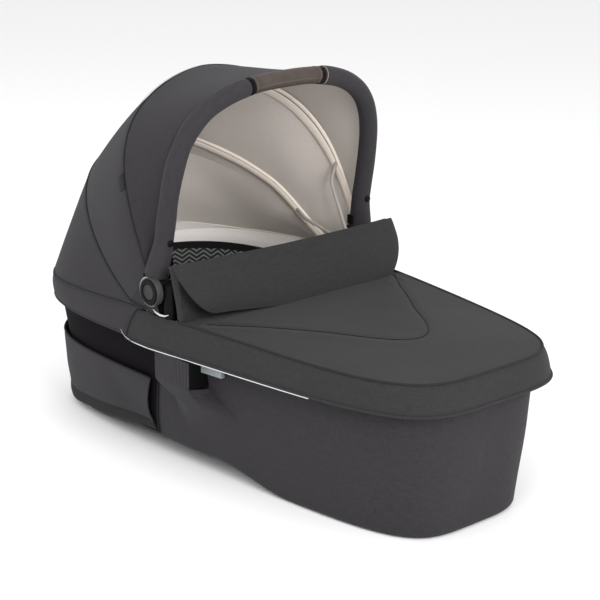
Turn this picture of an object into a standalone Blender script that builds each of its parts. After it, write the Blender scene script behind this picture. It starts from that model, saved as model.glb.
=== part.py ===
# Carrycot with a folding hood, a carry bow, a zipped apron and a ventilated head end.
# Metres, +Z up, +X towards the foot end, -Y is the left side seen from the foot end.

import math

import bmesh
import bpy
import numpy as np
from mathutils import Vector

# Fits
GAP = 0.0003            # air left between pieces that meet or rest on each other
RUN = 0.0004            # radial clearance of a pin in its hole
OVERRUN = 0.004         # how far a cutter stands past the face it cuts

# Hub pivot, the axis about which the bow and both ribs turn
RIM_Z = 0.225               # height of the rim frame, from which the upper parts are placed
HUB_X = -0.0509
HUB_ABOVE_RIM = 0.051
HUB_Z = RIM_Z + HUB_ABOVE_RIM

# Plan outline: powers of the egg shape and how its points are spread
FOOT_REACH_POWER = 6.55
FOOT_WIDTH_POWER = 4.34
HEAD_REACH_POWER = 4.4
HEAD_WIDTH_POWER = 2.6
SIDE_SHARE = 0.62       # share of the reach that counts as the long side
SIDE_STEPS = 5
CORNER_STEPS = 7

# Fabric cover and hood outline at the rim
FABRIC = 0.0016
COVER_HALF_WIDTH = 0.209
COVER_FOOT_X = 0.4157
COVER_NARROWING = 0.0536    # how much narrower each side is at the foot end
HOOD_OVERHANG = 0.0015      # how far the hood's sides stand out past the apron's
HOOD_HALF_WIDTH = COVER_HALF_WIDTH + HOOD_OVERHANG
HOOD_HEAD_X = -0.4279

# Rim frame
RIM_TUBE_R = 0.006
RIM_HALF_WIDTH = COVER_HALF_WIDTH - FABRIC - GAP - RIM_TUBE_R
RIM_FOOT_X = COVER_FOOT_X - FABRIC - GAP - RIM_TUBE_R
RIM_HEAD_X = HOOD_HEAD_X + FABRIC + GAP + RIM_TUBE_R

# Tub
WALL = 0.003
SIDE_SLANT = 0.051          # how far the base lies inside the cover at the sides
FOOT_SLANT = 0.0256         # the same at the foot end
HEAD_SLANT = 0.015          # the same at the head end
BASE_HALF_WIDTH = COVER_HALF_WIDTH - SIDE_SLANT
BASE_FOOT_X = COVER_FOOT_X - FOOT_SLANT
BASE_HEAD_X = HOOD_HEAD_X + HEAD_SLANT
BASE_NARROWING = 0.030
EDGE_ROUND = 0.010          # rounding between the walls and the base
ARCH_RISE = 0.025           # shallow arch under the middle of the base
ARCH_FOOT_X = 0.1571          # the arch springs here and is full at the next value
ARCH_FULL_FOOT_X = 0.0171
ARCH_FULL_HEAD_X = -0.1129
ARCH_HEAD_X = -0.3829
BOARD = 0.004
LINER = 0.0015
LINER_MARGIN = 0.004
MATTRESS_HEIGHT = 0.03
MATTRESS_MARGIN = 0.006
MATTRESS_CROWN = 0.006
CHANNEL_DEPTH = 0.0022
CHANNEL_PITCH = 0.1

# Bow: centre line of the carry handle
BOW_LEAN = math.radians(11.1)
BOW_REACH = 0.2810
BOW_SET_IN = 0.0185         # how far the bow's centre line lies inside the cover's side
BOW_HALF_WIDTH = COVER_HALF_WIDTH - BOW_SET_IN
BOW_REACH_POWER = 5.36
BOW_WIDTH_POWER = 2.6
BOW_BACK = 0.0098           # the bow's foot lies this far behind the hub axis
BOW_RISE = 0.0092           # and this far above it
BOW_TUBE_R = 0.0105
BOW_TUBE_WALL = 0.0015
BOW_START = 0.0112          # lower end of the tube above the bow's foot
SLEEVE_R = 0.0138
GRIP_R = 0.0125
GRIP_HALF_LENGTH = 0.062
RING_LENGTH = 0.006
RING_R = 0.0132
RING_GAP = 0.0012

# Hood seams: where the cover panels meet
FRONT_SEAM_ANGLE = math.radians(-26.2)
FRONT_SEAM_BEYOND = 0.030   # how far the front seam arches past the bow's centre line
FRONT_SEAM_REACH = BOW_REACH + FRONT_SEAM_BEYOND
FRONT_SEAM_POWERS = (4.16, 1.7)
REAR_SEAM_ANGLE = math.radians(-60.4)
REAR_SEAM_BEYOND = 0.029    # how far the rear seam arches past the front seam
REAR_SEAM_REACH = FRONT_SEAM_REACH + REAR_SEAM_BEYOND
REAR_SEAM_POWERS = (2.02, 2.02)
REAR_SEAM_BACK = 0.036
REAR_SEAM_DROP = 0.038
BAND_SEAM_ANGLE = math.radians(-93.3)
BAND_SEAM_DROP = 0.029
COVER_START = 0.024         # the cover panels begin this far from their seam's foot
REAR_START = 0.020
BAND_START = 0.006
LINING_START = 0.045
LINING_LIFT = 0.010
LINING_SLACK = 0.003
REAR_SLACK = 0.0065
LINING = 0.0012
COVER_OUT = 0.0125          # the front panel's edge outside the bow's centre line
PANEL_EDGE = 0.0006         # half the slit between neighbouring panels

# Ribs
RIB_R = 0.0025
RIB_BEND_START = 0.092
RIB_BEND_END = 0.145
BRACKET_SET_IN = 0.023      # how far the bracket's inner face lies inside the cover's side
BRACKET_IN = COVER_HALF_WIDTH - BRACKET_SET_IN
FRONT_RIB_SET_IN = 0.0155   # from the bracket's inner face to the front rib
RIB_SPACING = 0.0055        # from the front rib's end to the rear rib's
LINING_SET_IN = 0.011       # from the rear rib's end to the lining beside it
FRONT_RIB_Y = BRACKET_IN - FRONT_RIB_SET_IN
REAR_RIB_Y = FRONT_RIB_Y - RIB_SPACING
LINING_LOW_Y = REAR_RIB_Y - LINING_SET_IN
EYELET_R = 0.009
EYELET_HALF = 0.0018

# Hub
PIN_R = 0.004
PIN_HEAD_R = 0.0075
PIN_HEAD = 0.003
BRACKET_THICK = 0.010
BRACKET_OUT = BRACKET_IN + BRACKET_THICK
BRACKET_R = 0.0135
BRACKET_BOSS_R = 0.010
STEM_HALF = 0.0125
SADDLE_REACH = 0.0085       # how far the saddle stands out past the bracket
SADDLE_OUT = BRACKET_OUT + SADDLE_REACH
SADDLE_ABOVE = 0.013
HOUSING_PLAY = 0.0005       # air between the bracket and the turning housing
HOUSING_WEB = 0.0075        # wall between the bracket and the button's recess
RECESS_DEPTH = 0.016
HOUSING_IN = BRACKET_OUT + HOUSING_PLAY
RECESS_FLOOR = HOUSING_IN + HOUSING_WEB
HOUSING_OUT = RECESS_FLOOR + RECESS_DEPTH
HOUSING_R = 0.0200
HOUSING_BEVEL = 0.002
ARM_THICK = 0.010
ARM_OUT = HOUSING_IN + ARM_THICK
FOOT_PLATE = 0.0035          # the plate under the bow's tube
FOOT_PLATE_REACH = 0.0185    # how far the plate runs in from the housing
FOOT_PLATE_IN = HOUSING_IN - FOOT_PLATE_REACH
FOOT_PLATE_HALF = 0.0125
SPIGOT_R = 0.0081
SPIGOT_LENGTH = 0.022
SPIKE_LENGTH = 0.028
SPIKE_LEAN = math.radians(-30.0)
SPIKE_HALF = 0.006
SPIKE_THICK = 0.0052
SPIKE_SINK = 0.0035          # the strap guide's face below the housing's
SPIKE_OUT = HOUSING_OUT - SPIKE_SINK
SPIKE_IN = SPIKE_OUT - SPIKE_THICK
RECESS_R = 0.0125
BUTTON_R = 0.0120
BUTTON_HEIGHT = 0.0060
BUTTON_SINK = 0.0008
BUTTON_TRAVEL = 0.003
SPRING_WIRE_R = 0.0005
SPRING_R = 0.0065
SPRING_TURNS = 3

# Apron
APRON_X = 0.0051            # rear edge of the apron's top
PIPING_R = 0.0018
PIPING_ABOVE_RIM = 0.0092  # at the foot end
PIPING_Z = RIM_Z + PIPING_ABOVE_RIM
PIPING_RISE = 0.006         # how much higher the piping sits beside the hubs
PIPING_RISE_X = 0.3571
SHOULDER = 0.006            # the skirt's rounded shoulder below the piping
SHOULDER_OUT = 0.0012
APRON_CROWN = 0.008
SKIRT_BELOW_RIM = 0.032
SKIRT_BOTTOM_Z = RIM_Z - SKIRT_BELOW_RIM
SKIRT_FLARE = 0.0085
SKIRT_FOOT_FLARE = 0.011
SKIRT_END_X = -0.1079        # where the skirt ends
BAND_FRONT_X = -0.0769       # where the hood's band ends beside the hub
BRIGHT_PIPING_R = 0.0012
BRIGHT_PIPING_END_X = 0.2521
RIDGE_X = -0.0044
RIDGE_ABOVE_RIM = 0.096
RIDGE_Z = RIM_Z + RIDGE_ABOVE_RIM
RIDGE_R = 0.003
RIDGE_SAG = 0.004
APRON_WALL = 0.002
FLAP_LENGTH = 0.078
FLAP_SLOPE = math.radians(60.0)
FLAP_THICK = 0.003
FLAP_CORNER = 0.048
FLAP_BULGE = 0.006

# Head end
MESH_BELOW_SKIRT = 0.004
MESH_HEIGHT = 0.074
MESH_TOP_Z = SKIRT_BOTTOM_Z - MESH_BELOW_SKIRT
MESH_BOTTOM_Z = MESH_TOP_Z - MESH_HEIGHT
MESH_THICK = 0.001
MESH_END_X = -0.0829
VENT_OVERLAP = 0.016        # how far the closed flap covers the mesh
VENT_TOP_Z = MESH_BOTTOM_Z + VENT_OVERLAP
HEM_CLEAR = 0.011           # the hem's lower edge above the underside
VENT_END_X = -0.1009
VENT_THICK = 0.0014
VENT_STAND = 0.0030         # how far the open flap's top edge stands off the wall
EDGE_HEIGHT = 0.006
HEM_HEIGHT = 0.009
HEM_THICK = 0.0022

# Chassis adapters on the sides
ADAPTER_REAR_X = -0.0389
ADAPTER_FRONT_X = 0.0351
ADAPTER_PROUD = 0.0065      # how far the adapter stands out past the cover's side
ADAPTER_OUT = COVER_HALF_WIDTH + ADAPTER_PROUD
ADAPTER_BELOW_SKIRT = 0.0028
ADAPTER_HEIGHT = 0.0402
ADAPTER_HIGH_Z = SKIRT_BOTTOM_Z - ADAPTER_BELOW_SKIRT
ADAPTER_LOW_Z = ADAPTER_HIGH_Z - ADAPTER_HEIGHT
PILLAR_LOW_Z = 0.045
PILLAR_TOP_DEPTH = 0.014
PILLAR_LOW_DEPTH = 0.004
SOCKET_HALF_X = 0.013
SOCKET_HALF_Y = 0.005
SOCKET_DEPTH = 0.024
LEVER_REAR_X = 0.0011
LEVER_FRONT_X = 0.0751
LEVER_DROP = 0.0172         # from the adapter's top to the lever's underside
LEVER_LOW_Z = ADAPTER_HIGH_Z - LEVER_DROP
LEVER_HEIGHT = 0.0130
LEVER_THICK = 0.0055
LEVER_STAND = 0.0020
LEVER_TRAVEL = 0.005
LEVER_SPRING_HEIGHT = 0.0062
LEVER_SPRING_R = 0.0017
LEVER_SPRING_WIRE_R = 0.0003

# Small fittings
SNAP_R = 0.005
SNAP_HEIGHT = 0.0022
SNAP_UP = 0.062             # above the bow's foot, along the bow
CLIP_LENGTH = 0.014
CLIP_WIDTH = 0.010
CLIP_THICK = 0.003
CLIP_UP = 0.027
TAG_LENGTH = 0.022
TAG_WIDTH = 0.020
TAG_THICK = 0.0008
TAG_SHARE = 0.10            # how far round the front seam from the left foot the tag sits

# Facets
TUBE_SIDES = 8
BOW_SIDES = 10
BOW_STEPS = 35
WALL_ROWS = 4
RIB_LEG_STEPS = 9
WIRE_SIDES = 6
SPRING_STEPS = 6
SPRING_SIDES = 4
TURN_SIDES = 20
PANEL_STEPS = 20
PANEL_ROWS = 4

LEFT = -1
RIGHT = 1
SIDE_NAMES = {LEFT: "left", RIGHT: "right"}


def clear_scene():
    for item in list(bpy.data.objects):
        bpy.data.objects.remove(item)


def make_material(name, colour, roughness, metallic=0.0):
    material = bpy.data.materials.new(name)
    material.use_nodes = True
    shader = material.node_tree.nodes["Principled BSDF"]
    shader.inputs["Base Color"].default_value = (*colour, 1.0)
    shader.inputs["Roughness"].default_value = roughness
    shader.inputs["Metallic"].default_value = metallic
    return material


def make_materials():
    return {
        "outer_fabric": make_material("outer_fabric", (0.062, 0.060, 0.065), 0.9),
        "lining_fabric": make_material("lining_fabric", (0.48, 0.43, 0.39), 0.9),
        "inner_fabric": make_material("inner_fabric", (0.16, 0.16, 0.165), 0.9),
        "mesh_fabric": make_material("mesh_fabric", (0.02, 0.016, 0.022), 0.85),
        "binding": make_material("binding", (0.014, 0.014, 0.016), 0.75),
        "reflective": make_material("reflective", (0.72, 0.73, 0.75), 0.35),
        "leatherette": make_material("leatherette", (0.10, 0.075, 0.062), 0.55),
        "black_plastic": make_material("black_plastic", (0.018, 0.018, 0.02), 0.45),
        "hub_plastic": make_material("hub_plastic", (0.10, 0.10, 0.105), 0.5),
        "lever_plastic": make_material("lever_plastic", (0.29, 0.32, 0.34), 0.45),
        "base_plastic": make_material("base_plastic", (0.05, 0.05, 0.05), 0.6),
        "aluminium": make_material("aluminium", (0.62, 0.63, 0.64), 0.35, 1.0),
        "steel": make_material("steel", (0.5, 0.5, 0.52), 0.3, 1.0),
    }


# Mesh helpers


def add_object(name, mesh, material, pivot=(0.0, 0.0, 0.0)):
    mesh.materials.clear()
    mesh.materials.append(material)
    item = bpy.data.objects.new(name, mesh)
    bpy.context.scene.collection.objects.link(item)
    offset = Vector(pivot)
    for vertex in mesh.vertices:
        vertex.co -= offset
    item.location = offset
    mesh.shade_smooth()
    mesh.set_sharp_from_angle(angle=math.radians(35.0))
    return item


def mesh_from(points, faces):
    shape = bmesh.new()
    vertices = [shape.verts.new(tuple(float(value) for value in point)) for point in points]
    for face in faces:
        shape.faces.new([vertices[index] for index in face])
    bmesh.ops.recalc_face_normals(shape, faces=shape.faces)
    mesh = bpy.data.meshes.new("solid")
    shape.to_mesh(mesh)
    shape.free()
    return mesh


def combine(item, tool, operation):
    """Cut or join two objects and drop the tool."""
    modifier = item.modifiers.new("combine", "BOOLEAN")
    modifier.operation = operation
    modifier.solver = "EXACT"
    modifier.object = tool
    bpy.context.view_layer.update()
    depsgraph = bpy.context.evaluated_depsgraph_get()
    mesh = bpy.data.meshes.new_from_object(item.evaluated_get(depsgraph))
    item.modifiers.clear()
    item.data = mesh
    bpy.data.objects.remove(tool)
    mesh.shade_smooth()
    mesh.set_sharp_from_angle(angle=math.radians(35.0))
    return item


def loop_caps(count, start):
    """Strips between mirrored points of an outline that starts and turns on its axis."""
    half = count // 2
    faces = [(start, start + 1, start + count - 1)]
    for index in range(1, half - 1):
        near = start + index
        far = start + count - index
        faces.append((near, near + 1, far - 1, far))
    faces.append((start + half - 1, start + half, start + half + 1))
    return faces


def ring_faces(count, rings, closed_rings=False):
    """Quads that join each ring to the next, and the last to the first if they close."""
    faces = []
    last = rings if closed_rings else rings - 1
    for ring in range(last):
        this = ring * count
        following = ((ring + 1) % rings) * count
        for index in range(count):
            step = (index + 1) % count
            faces.append((this + index, this + step, following + step, following + index))
    return faces


def bowl_mesh(rings):
    """A closed solid lofted through outlines, capped at its first and last."""
    count = len(rings[0])
    points = [point for ring in rings for point in ring]
    faces = ring_faces(count, len(rings))
    faces += loop_caps(count, 0)
    faces += loop_caps(count, count * (len(rings) - 1))
    return mesh_from(points, faces)


def sheet_mesh(front, back):
    """A thin closed solid between two grids of points of the same size."""
    rows, columns = front.shape[:2]
    points = np.concatenate([front.reshape(-1, 3), back.reshape(-1, 3)])
    offset = rows * columns
    faces = []
    for row in range(rows - 1):
        for column in range(columns - 1):
            corner = row * columns + column
            quad = (corner, corner + 1, corner + columns + 1, corner + columns)
            faces.append(quad)
            faces.append(tuple(index + offset for index in reversed(quad)))
    edge = [column for column in range(columns)]
    edge += [row * columns + columns - 1 for row in range(1, rows)]
    edge += [(rows - 1) * columns + column for column in range(columns - 2, -1, -1)]
    edge += [row * columns for row in range(rows - 2, 0, -1)]
    for index, here in enumerate(edge):
        after = edge[(index + 1) % len(edge)]
        faces.append((after, here, here + offset, after + offset))
    return mesh_from(points, faces)


def path_frames(path, closed, flat=None):
    """Two cross directions at each point of a path; the first is given if it lies in a plane."""
    following = np.roll(path, -1, 0)
    before = np.roll(path, 1, 0)
    if not closed:
        following[-1] = path[-1]
        before[0] = path[0]
    tangents = following - before
    tangents /= np.linalg.norm(tangents, axis=1)[:, None]
    if flat is not None:
        firsts = np.tile(np.array(flat), (len(path), 1))
        return firsts, np.cross(tangents, firsts)
    guide = np.array([0.0, 0.0, 1.0]) if abs(tangents[0][2]) < 0.9 else np.array([1.0, 0.0, 0.0])
    firsts = []
    for tangent in tangents:
        guide = guide - tangent * float(guide @ tangent)
        guide = guide / np.linalg.norm(guide)
        firsts.append(guide)
    firsts = np.array(firsts)
    return firsts, np.cross(tangents, firsts)


def tube_rings(path, radius, sides, closed, flat=None):
    firsts, seconds = path_frames(path, closed, flat)
    turns = [2.0 * math.pi * side / sides for side in range(sides)]
    rings = []
    for point, first, second in zip(path, firsts, seconds):
        rings.append([point + radius * (math.cos(turn) * first + math.sin(turn) * second) for turn in turns])
    return rings


def rod_mesh(path, radius, sides=TUBE_SIDES, closed=False):
    rings = tube_rings(path, radius, sides, closed)
    points = [point for ring in rings for point in ring]
    faces = ring_faces(sides, len(rings), closed)
    if not closed:
        faces.append(tuple(reversed(range(sides))))
        faces.append(tuple(range(sides * (len(rings) - 1), sides * len(rings))))
    return mesh_from(points, faces)


def pipe_mesh(path, outer, inner, sides, flat):
    """A hollow pipe along an open path in a plane."""
    rings = tube_rings(path, outer, sides, False, flat)
    rings += list(reversed(tube_rings(path, inner, sides, False, flat)))
    points = [point for ring in rings for point in ring]
    return mesh_from(points, ring_faces(sides, len(rings), True))


def turned_mesh(profile, x, z, side, sides=TURN_SIDES):
    """A shape turned about the hub's direction from (radius, distance out from the middle) pairs."""
    points = []
    for radius, out in profile:
        for step in range(sides):
            turn = 2.0 * math.pi * step / sides
            points.append((x + radius * math.sin(turn), side * out, z + radius * math.cos(turn)))
    faces = ring_faces(sides, len(profile))
    faces.append(tuple(reversed(range(sides))))
    faces.append(tuple(range(sides * (len(profile) - 1), sides * len(profile))))
    return mesh_from(points, faces)


def washer_mesh(inner, outer, low, high, x, z, side, sides=TURN_SIDES):
    profile = [(outer, low), (outer, high), (inner, high), (inner, low)]
    points = []
    for radius, out in profile:
        for step in range(sides):
            turn = 2.0 * math.pi * step / sides
            points.append((x + radius * math.sin(turn), side * out, z + radius * math.cos(turn)))
    return mesh_from(points, ring_faces(sides, len(profile), True))


def prism_mesh(outline, low, high, side):
    """A plate with an (x, z) outline between two distances out from the middle."""
    count = len(outline)
    points = [(x, side * low, z) for x, z in outline] + [(x, side * high, z) for x, z in outline]
    faces = [tuple(reversed(range(count))), tuple(range(count, 2 * count))]
    faces += ring_faces(count, 2)
    return mesh_from(points, faces)


def box_mesh(low, high):
    corners = [(x, y, z) for x in (low[0], high[0]) for y in (low[1], high[1]) for z in (low[2], high[2])]
    faces = [(0, 1, 3, 2), (4, 6, 7, 5), (0, 4, 5, 1), (2, 3, 7, 6), (0, 2, 6, 4), (1, 5, 7, 3)]
    return mesh_from(corners, faces)


def side_box(side, x_range, out_range, z_range):
    outs = sorted(side * out for out in out_range)
    return box_mesh((x_range[0], outs[0], z_range[0]), (x_range[1], outs[1], z_range[1]))


def tool(mesh):
    return add_object("tool", mesh, bpy.data.materials[0])


def smooth(share):
    share = min(max(share, 0.0), 1.0)
    return share * share * (3.0 - 2.0 * share)


def lengths_along(path):
    """How far each point of a path lies from its start, measured along it."""
    steps = np.linalg.norm(np.diff(path, axis=0), axis=1)
    return np.concatenate([[0.0], np.cumsum(steps)])


def points_along(path, places):
    """The points of a path at given lengths from its start."""
    along = lengths_along(path)
    return np.stack([np.interp(places, along, path[:, axis]) for axis in range(3)], -1)


def resample(path, count):
    """Points spread evenly along a path."""
    return points_along(path, np.linspace(0.0, lengths_along(path)[-1], count))


def cut_path(path, start, end):
    """The stretch of a path between two lengths measured from its start."""
    inside = [place for place in lengths_along(path) if start < place < end]
    return points_along(path, [start] + inside + [end])


# Outlines


def quadrant_shares(reach_power, width_power):
    """(reach, width) shares from the widest point to the tip."""
    shares = []
    for step in range(SIDE_STEPS):
        reach = SIDE_SHARE * step / SIDE_STEPS
        shares.append((reach, (1.0 - reach ** reach_power) ** (1.0 / width_power)))
    turn = math.acos(SIDE_SHARE ** (reach_power / 2.0))
    for step in range(CORNER_STEPS):
        angle = turn * (1.0 - step / CORNER_STEPS)
        shares.append((math.cos(angle) ** (2.0 / reach_power), math.sin(angle) ** (2.0 / width_power)))
    shares.append((1.0, 0.0))
    return shares


def egg(half_width, foot_x, head_x, narrowing):
    """Plan outline from the foot tip along +Y to the head tip and back along -Y."""
    foot = quadrant_shares(FOOT_REACH_POWER, FOOT_WIDTH_POWER)
    head = quadrant_shares(HEAD_REACH_POWER, HEAD_WIDTH_POWER)
    right = [
        (HUB_X + (foot_x - HUB_X) * reach, (half_width - narrowing * reach) * width)
        for reach, width in reversed(foot)
    ]
    right += [(HUB_X + (head_x - HUB_X) * reach, half_width * width) for reach, width in head[1:]]
    left = [(x, -y) for x, y in reversed(right[1:-1])]
    return right + left


def at_height(outline, z):
    return [(x, y, z) for x, y in outline]


def cover_outline(offset):
    return egg(COVER_HALF_WIDTH + offset, COVER_FOOT_X + offset, HOOD_HEAD_X - offset, COVER_NARROWING)


def rim_outline(offset):
    return egg(RIM_HALF_WIDTH + offset, RIM_FOOT_X + offset, RIM_HEAD_X - offset, COVER_NARROWING)


def tub_outline(z, offset):
    """Outline of the tub's outer wall at a height, moved out by an offset."""
    share = z / RIM_Z
    half_width = BASE_HALF_WIDTH + (RIM_HALF_WIDTH + WALL / 2 - BASE_HALF_WIDTH) * share
    foot_x = BASE_FOOT_X + (RIM_FOOT_X + WALL / 2 - BASE_FOOT_X) * share
    head_x = BASE_HEAD_X + (RIM_HEAD_X - WALL / 2 - BASE_HEAD_X) * share
    narrowing = BASE_NARROWING + (COVER_NARROWING - BASE_NARROWING) * share
    return egg(half_width + offset, foot_x + offset, head_x - offset, narrowing)


def arch_rise(x):
    foot = smooth((ARCH_FOOT_X - x) / (ARCH_FOOT_X - ARCH_FULL_FOOT_X))
    head = smooth((x - ARCH_HEAD_X) / (ARCH_FULL_HEAD_X - ARCH_HEAD_X))
    return ARCH_RISE * foot * head


def half_width_at(outline, x):
    """Half width of an outline at a place along the carrycot."""
    right = [point for point in outline if point[1] >= 0.0]
    right.sort()
    return float(np.interp(x, [point[0] for point in right], [point[1] for point in right]))


def head_strip(outline, end_x):
    """The part of an outline behind end_x, from the right side round the head to the left."""
    start_y = half_width_at(outline, end_x)
    middle = [point for point in outline if point[0] < end_x]
    middle.sort(key=lambda point: math.atan2(point[1], end_x - point[0]), reverse=True)
    return [(end_x, start_y)] + middle + [(end_x, -start_y)]


def foot_strip(outline, end_x):
    """The part of an outline ahead of end_x, from the left side round the foot to the right."""
    start_y = half_width_at(outline, end_x)
    middle = [point for point in outline if point[0] > end_x]
    middle.sort(key=lambda point: math.atan2(point[1], point[0] - end_x))
    return [(end_x, -start_y)] + middle + [(end_x, start_y)]


# Hood seams and bow


ARC_SPREAD = math.radians(89.9)


def arc_points(angle, reach, half_width, powers, back, rise, start, count):
    """An arch across the carrycot whose feet lie near the hubs, from left to right."""
    starts = start if isinstance(start, tuple) else (start,)
    limits = [math.asin((1.0 - (low / reach) ** powers[0]) ** (1.0 / powers[1])) for low in starts]
    if len(limits) == 1:
        turns = np.clip(np.linspace(-ARC_SPREAD, ARC_SPREAD, count), -limits[0], limits[0])
    else:
        turns = np.linspace(-limits[-1], limits[-1], count)
        turns = [-limit for limit in limits[:-1]] + list(turns) + limits[-2::-1]
    points = []
    for turn in turns:
        width = math.sin(turn)
        height = (1.0 - abs(width) ** powers[1]) ** (1.0 / powers[0])
        points.append((
            HUB_X - back + reach * height * math.sin(angle),
            half_width * width,
            HUB_Z + rise + reach * height * math.cos(angle),
        ))
    return np.array(points)


def bow_arc(outward, backward, start, count):
    return arc_points(
        BOW_LEAN,
        BOW_REACH + outward,
        BOW_HALF_WIDTH + outward,
        (BOW_REACH_POWER, BOW_WIDTH_POWER),
        BOW_BACK + backward * math.cos(BOW_LEAN),
        BOW_RISE + backward * math.sin(BOW_LEAN),
        start,
        count,
    )


def front_arc(depth, start, count):
    return arc_points(
        FRONT_SEAM_ANGLE,
        FRONT_SEAM_REACH - depth,
        HOOD_HALF_WIDTH - depth,
        FRONT_SEAM_POWERS,
        0.0,
        0.0,
        start,
        count,
    )


def rear_arc(depth, start, count):
    return arc_points(
        REAR_SEAM_ANGLE,
        REAR_SEAM_REACH - depth,
        HOOD_HALF_WIDTH - depth,
        REAR_SEAM_POWERS,
        REAR_SEAM_BACK,
        -REAR_SEAM_DROP,
        start,
        count,
    )


def band_arc(depth, start, count):
    reach = (HUB_X - HOOD_HEAD_X) / math.cos(BAND_SEAM_ANGLE + math.pi / 2)
    return arc_points(
        BAND_SEAM_ANGLE,
        reach - depth,
        HOOD_HALF_WIDTH - depth,
        (HEAD_REACH_POWER, HEAD_WIDTH_POWER),
        0.0,
        -BAND_SEAM_DROP,
        start,
        count,
    )


def lining_rear_arc(depth, start, count):
    """The lining hangs a little lower under the rear rib."""
    return rear_arc(depth + REAR_SLACK, start, count)


def lining_band_arc(depth, start, count):
    """The lower edge of the lining, clear of the rim."""
    points = band_arc(depth, start, count)
    points[:, 2] += LINING_LIFT
    return points


SLEEVE_CLEAR = SLEEVE_R + GAP
COVER_BACK = math.sqrt(SLEEVE_CLEAR ** 2 - (COVER_OUT - FABRIC) ** 2) + 3 * GAP
LINING_BACK = SLEEVE_CLEAR + 2 * GAP


def edge_arc(depth, start, count):
    return bow_arc(COVER_OUT - depth, COVER_BACK, start, count)


def lining_edge_arc(depth, start, count):
    return bow_arc(COVER_OUT - depth, LINING_BACK, start, count)


def bow_path():
    """The bow's centre line, which doesn't bend under the rings beside the grip."""
    arch = bow_arc(0.0, 0.0, BOW_START, 400)
    middle = lengths_along(arch)[-1] / 2
    straight_start = GRIP_HALF_LENGTH - RING_LENGTH
    straight_end = GRIP_HALF_LENGTH + GAP + RING_LENGTH + RING_GAP + RING_LENGTH
    places = []
    for place in np.linspace(-middle, middle, BOW_STEPS):
        reach = abs(place)
        if straight_start < reach < straight_end:
            before = reach - straight_start < straight_end - reach
            reach = straight_start if before else straight_end
        places.append(middle + math.copysign(reach, place))
    return points_along(arch, places)


# Tub pieces


def make_tub_shell(mats):
    top = RIM_Z - RIM_TUBE_R - GAP
    rings = []
    for step in range(4):
        turn = math.pi / 2 * step / 3
        height = EDGE_ROUND * (1.0 - math.cos(turn))
        inset = EDGE_ROUND * (1.0 - math.sin(turn))
        rings.append((-inset, height))
    for step in range(1, WALL_ROWS + 1):
        rings.append((0.0, EDGE_ROUND + (top - EDGE_ROUND) * step / WALL_ROWS))
    rings.append((-WALL, top))
    rings.append((-WALL, EDGE_ROUND))
    rings.append((-EDGE_ROUND, WALL))
    shaped = []
    for offset, z in rings:
        if z > EDGE_ROUND:
            shaped.append(at_height(tub_outline(z, offset), z))
            continue
        low = tub_outline(z, offset)
        high = tub_outline(z + ARCH_RISE, offset)
        ring = []
        for (x, y), (high_x, high_y) in zip(low, high):
            rise = arch_rise(x)
            share = rise / ARCH_RISE
            ring.append((x + (high_x - x) * share, y + (high_y - y) * share, z + rise))
        shaped.append(ring)
    return add_object("tub_shell", bowl_mesh(shaped), mats["outer_fabric"])


BOARD_LOW_Z = ARCH_RISE + WALL + GAP
LINER_LOW_Z = BOARD_LOW_Z + BOARD + GAP
MATTRESS_LOW_Z = LINER_LOW_Z + LINER + GAP


def make_base_board(mats):
    high = BOARD_LOW_Z + BOARD
    rings = [
        at_height(tub_outline(BOARD_LOW_Z, -EDGE_ROUND - GAP), BOARD_LOW_Z),
        at_height(tub_outline(high, -EDGE_ROUND + BOARD - 2 * GAP), high),
    ]
    return add_object("base_board", bowl_mesh(rings), mats["base_plastic"])


def make_liner(mats):
    """The inner fabric bowl, with its rolled edge against the rim tube."""
    top = RIM_Z
    low = LINER_LOW_Z
    edge = rim_outline(-RIM_TUBE_R - GAP)
    inner_edge = rim_outline(-RIM_TUBE_R - GAP - LINER)
    bottom = tub_outline(low, -WALL - LINER_MARGIN)
    inner_bottom = tub_outline(low + LINER, -WALL - LINER_MARGIN - LINER)
    below = RIM_Z - RIM_TUBE_R - GAP - LINER
    rings = [
        at_height(bottom, low),
        at_height(rim_outline(-RIM_TUBE_R - GAP), below),
        at_height(edge, top),
        at_height(inner_edge, top),
        at_height(rim_outline(-RIM_TUBE_R - GAP - LINER), below),
        at_height(inner_bottom, low + LINER),
    ]
    return add_object("inner_liner", bowl_mesh(rings), mats["inner_fabric"])


def mattress_outline(offset):
    return tub_outline(MATTRESS_LOW_Z, -WALL - LINER_MARGIN - LINER - MATTRESS_MARGIN - offset)


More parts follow.
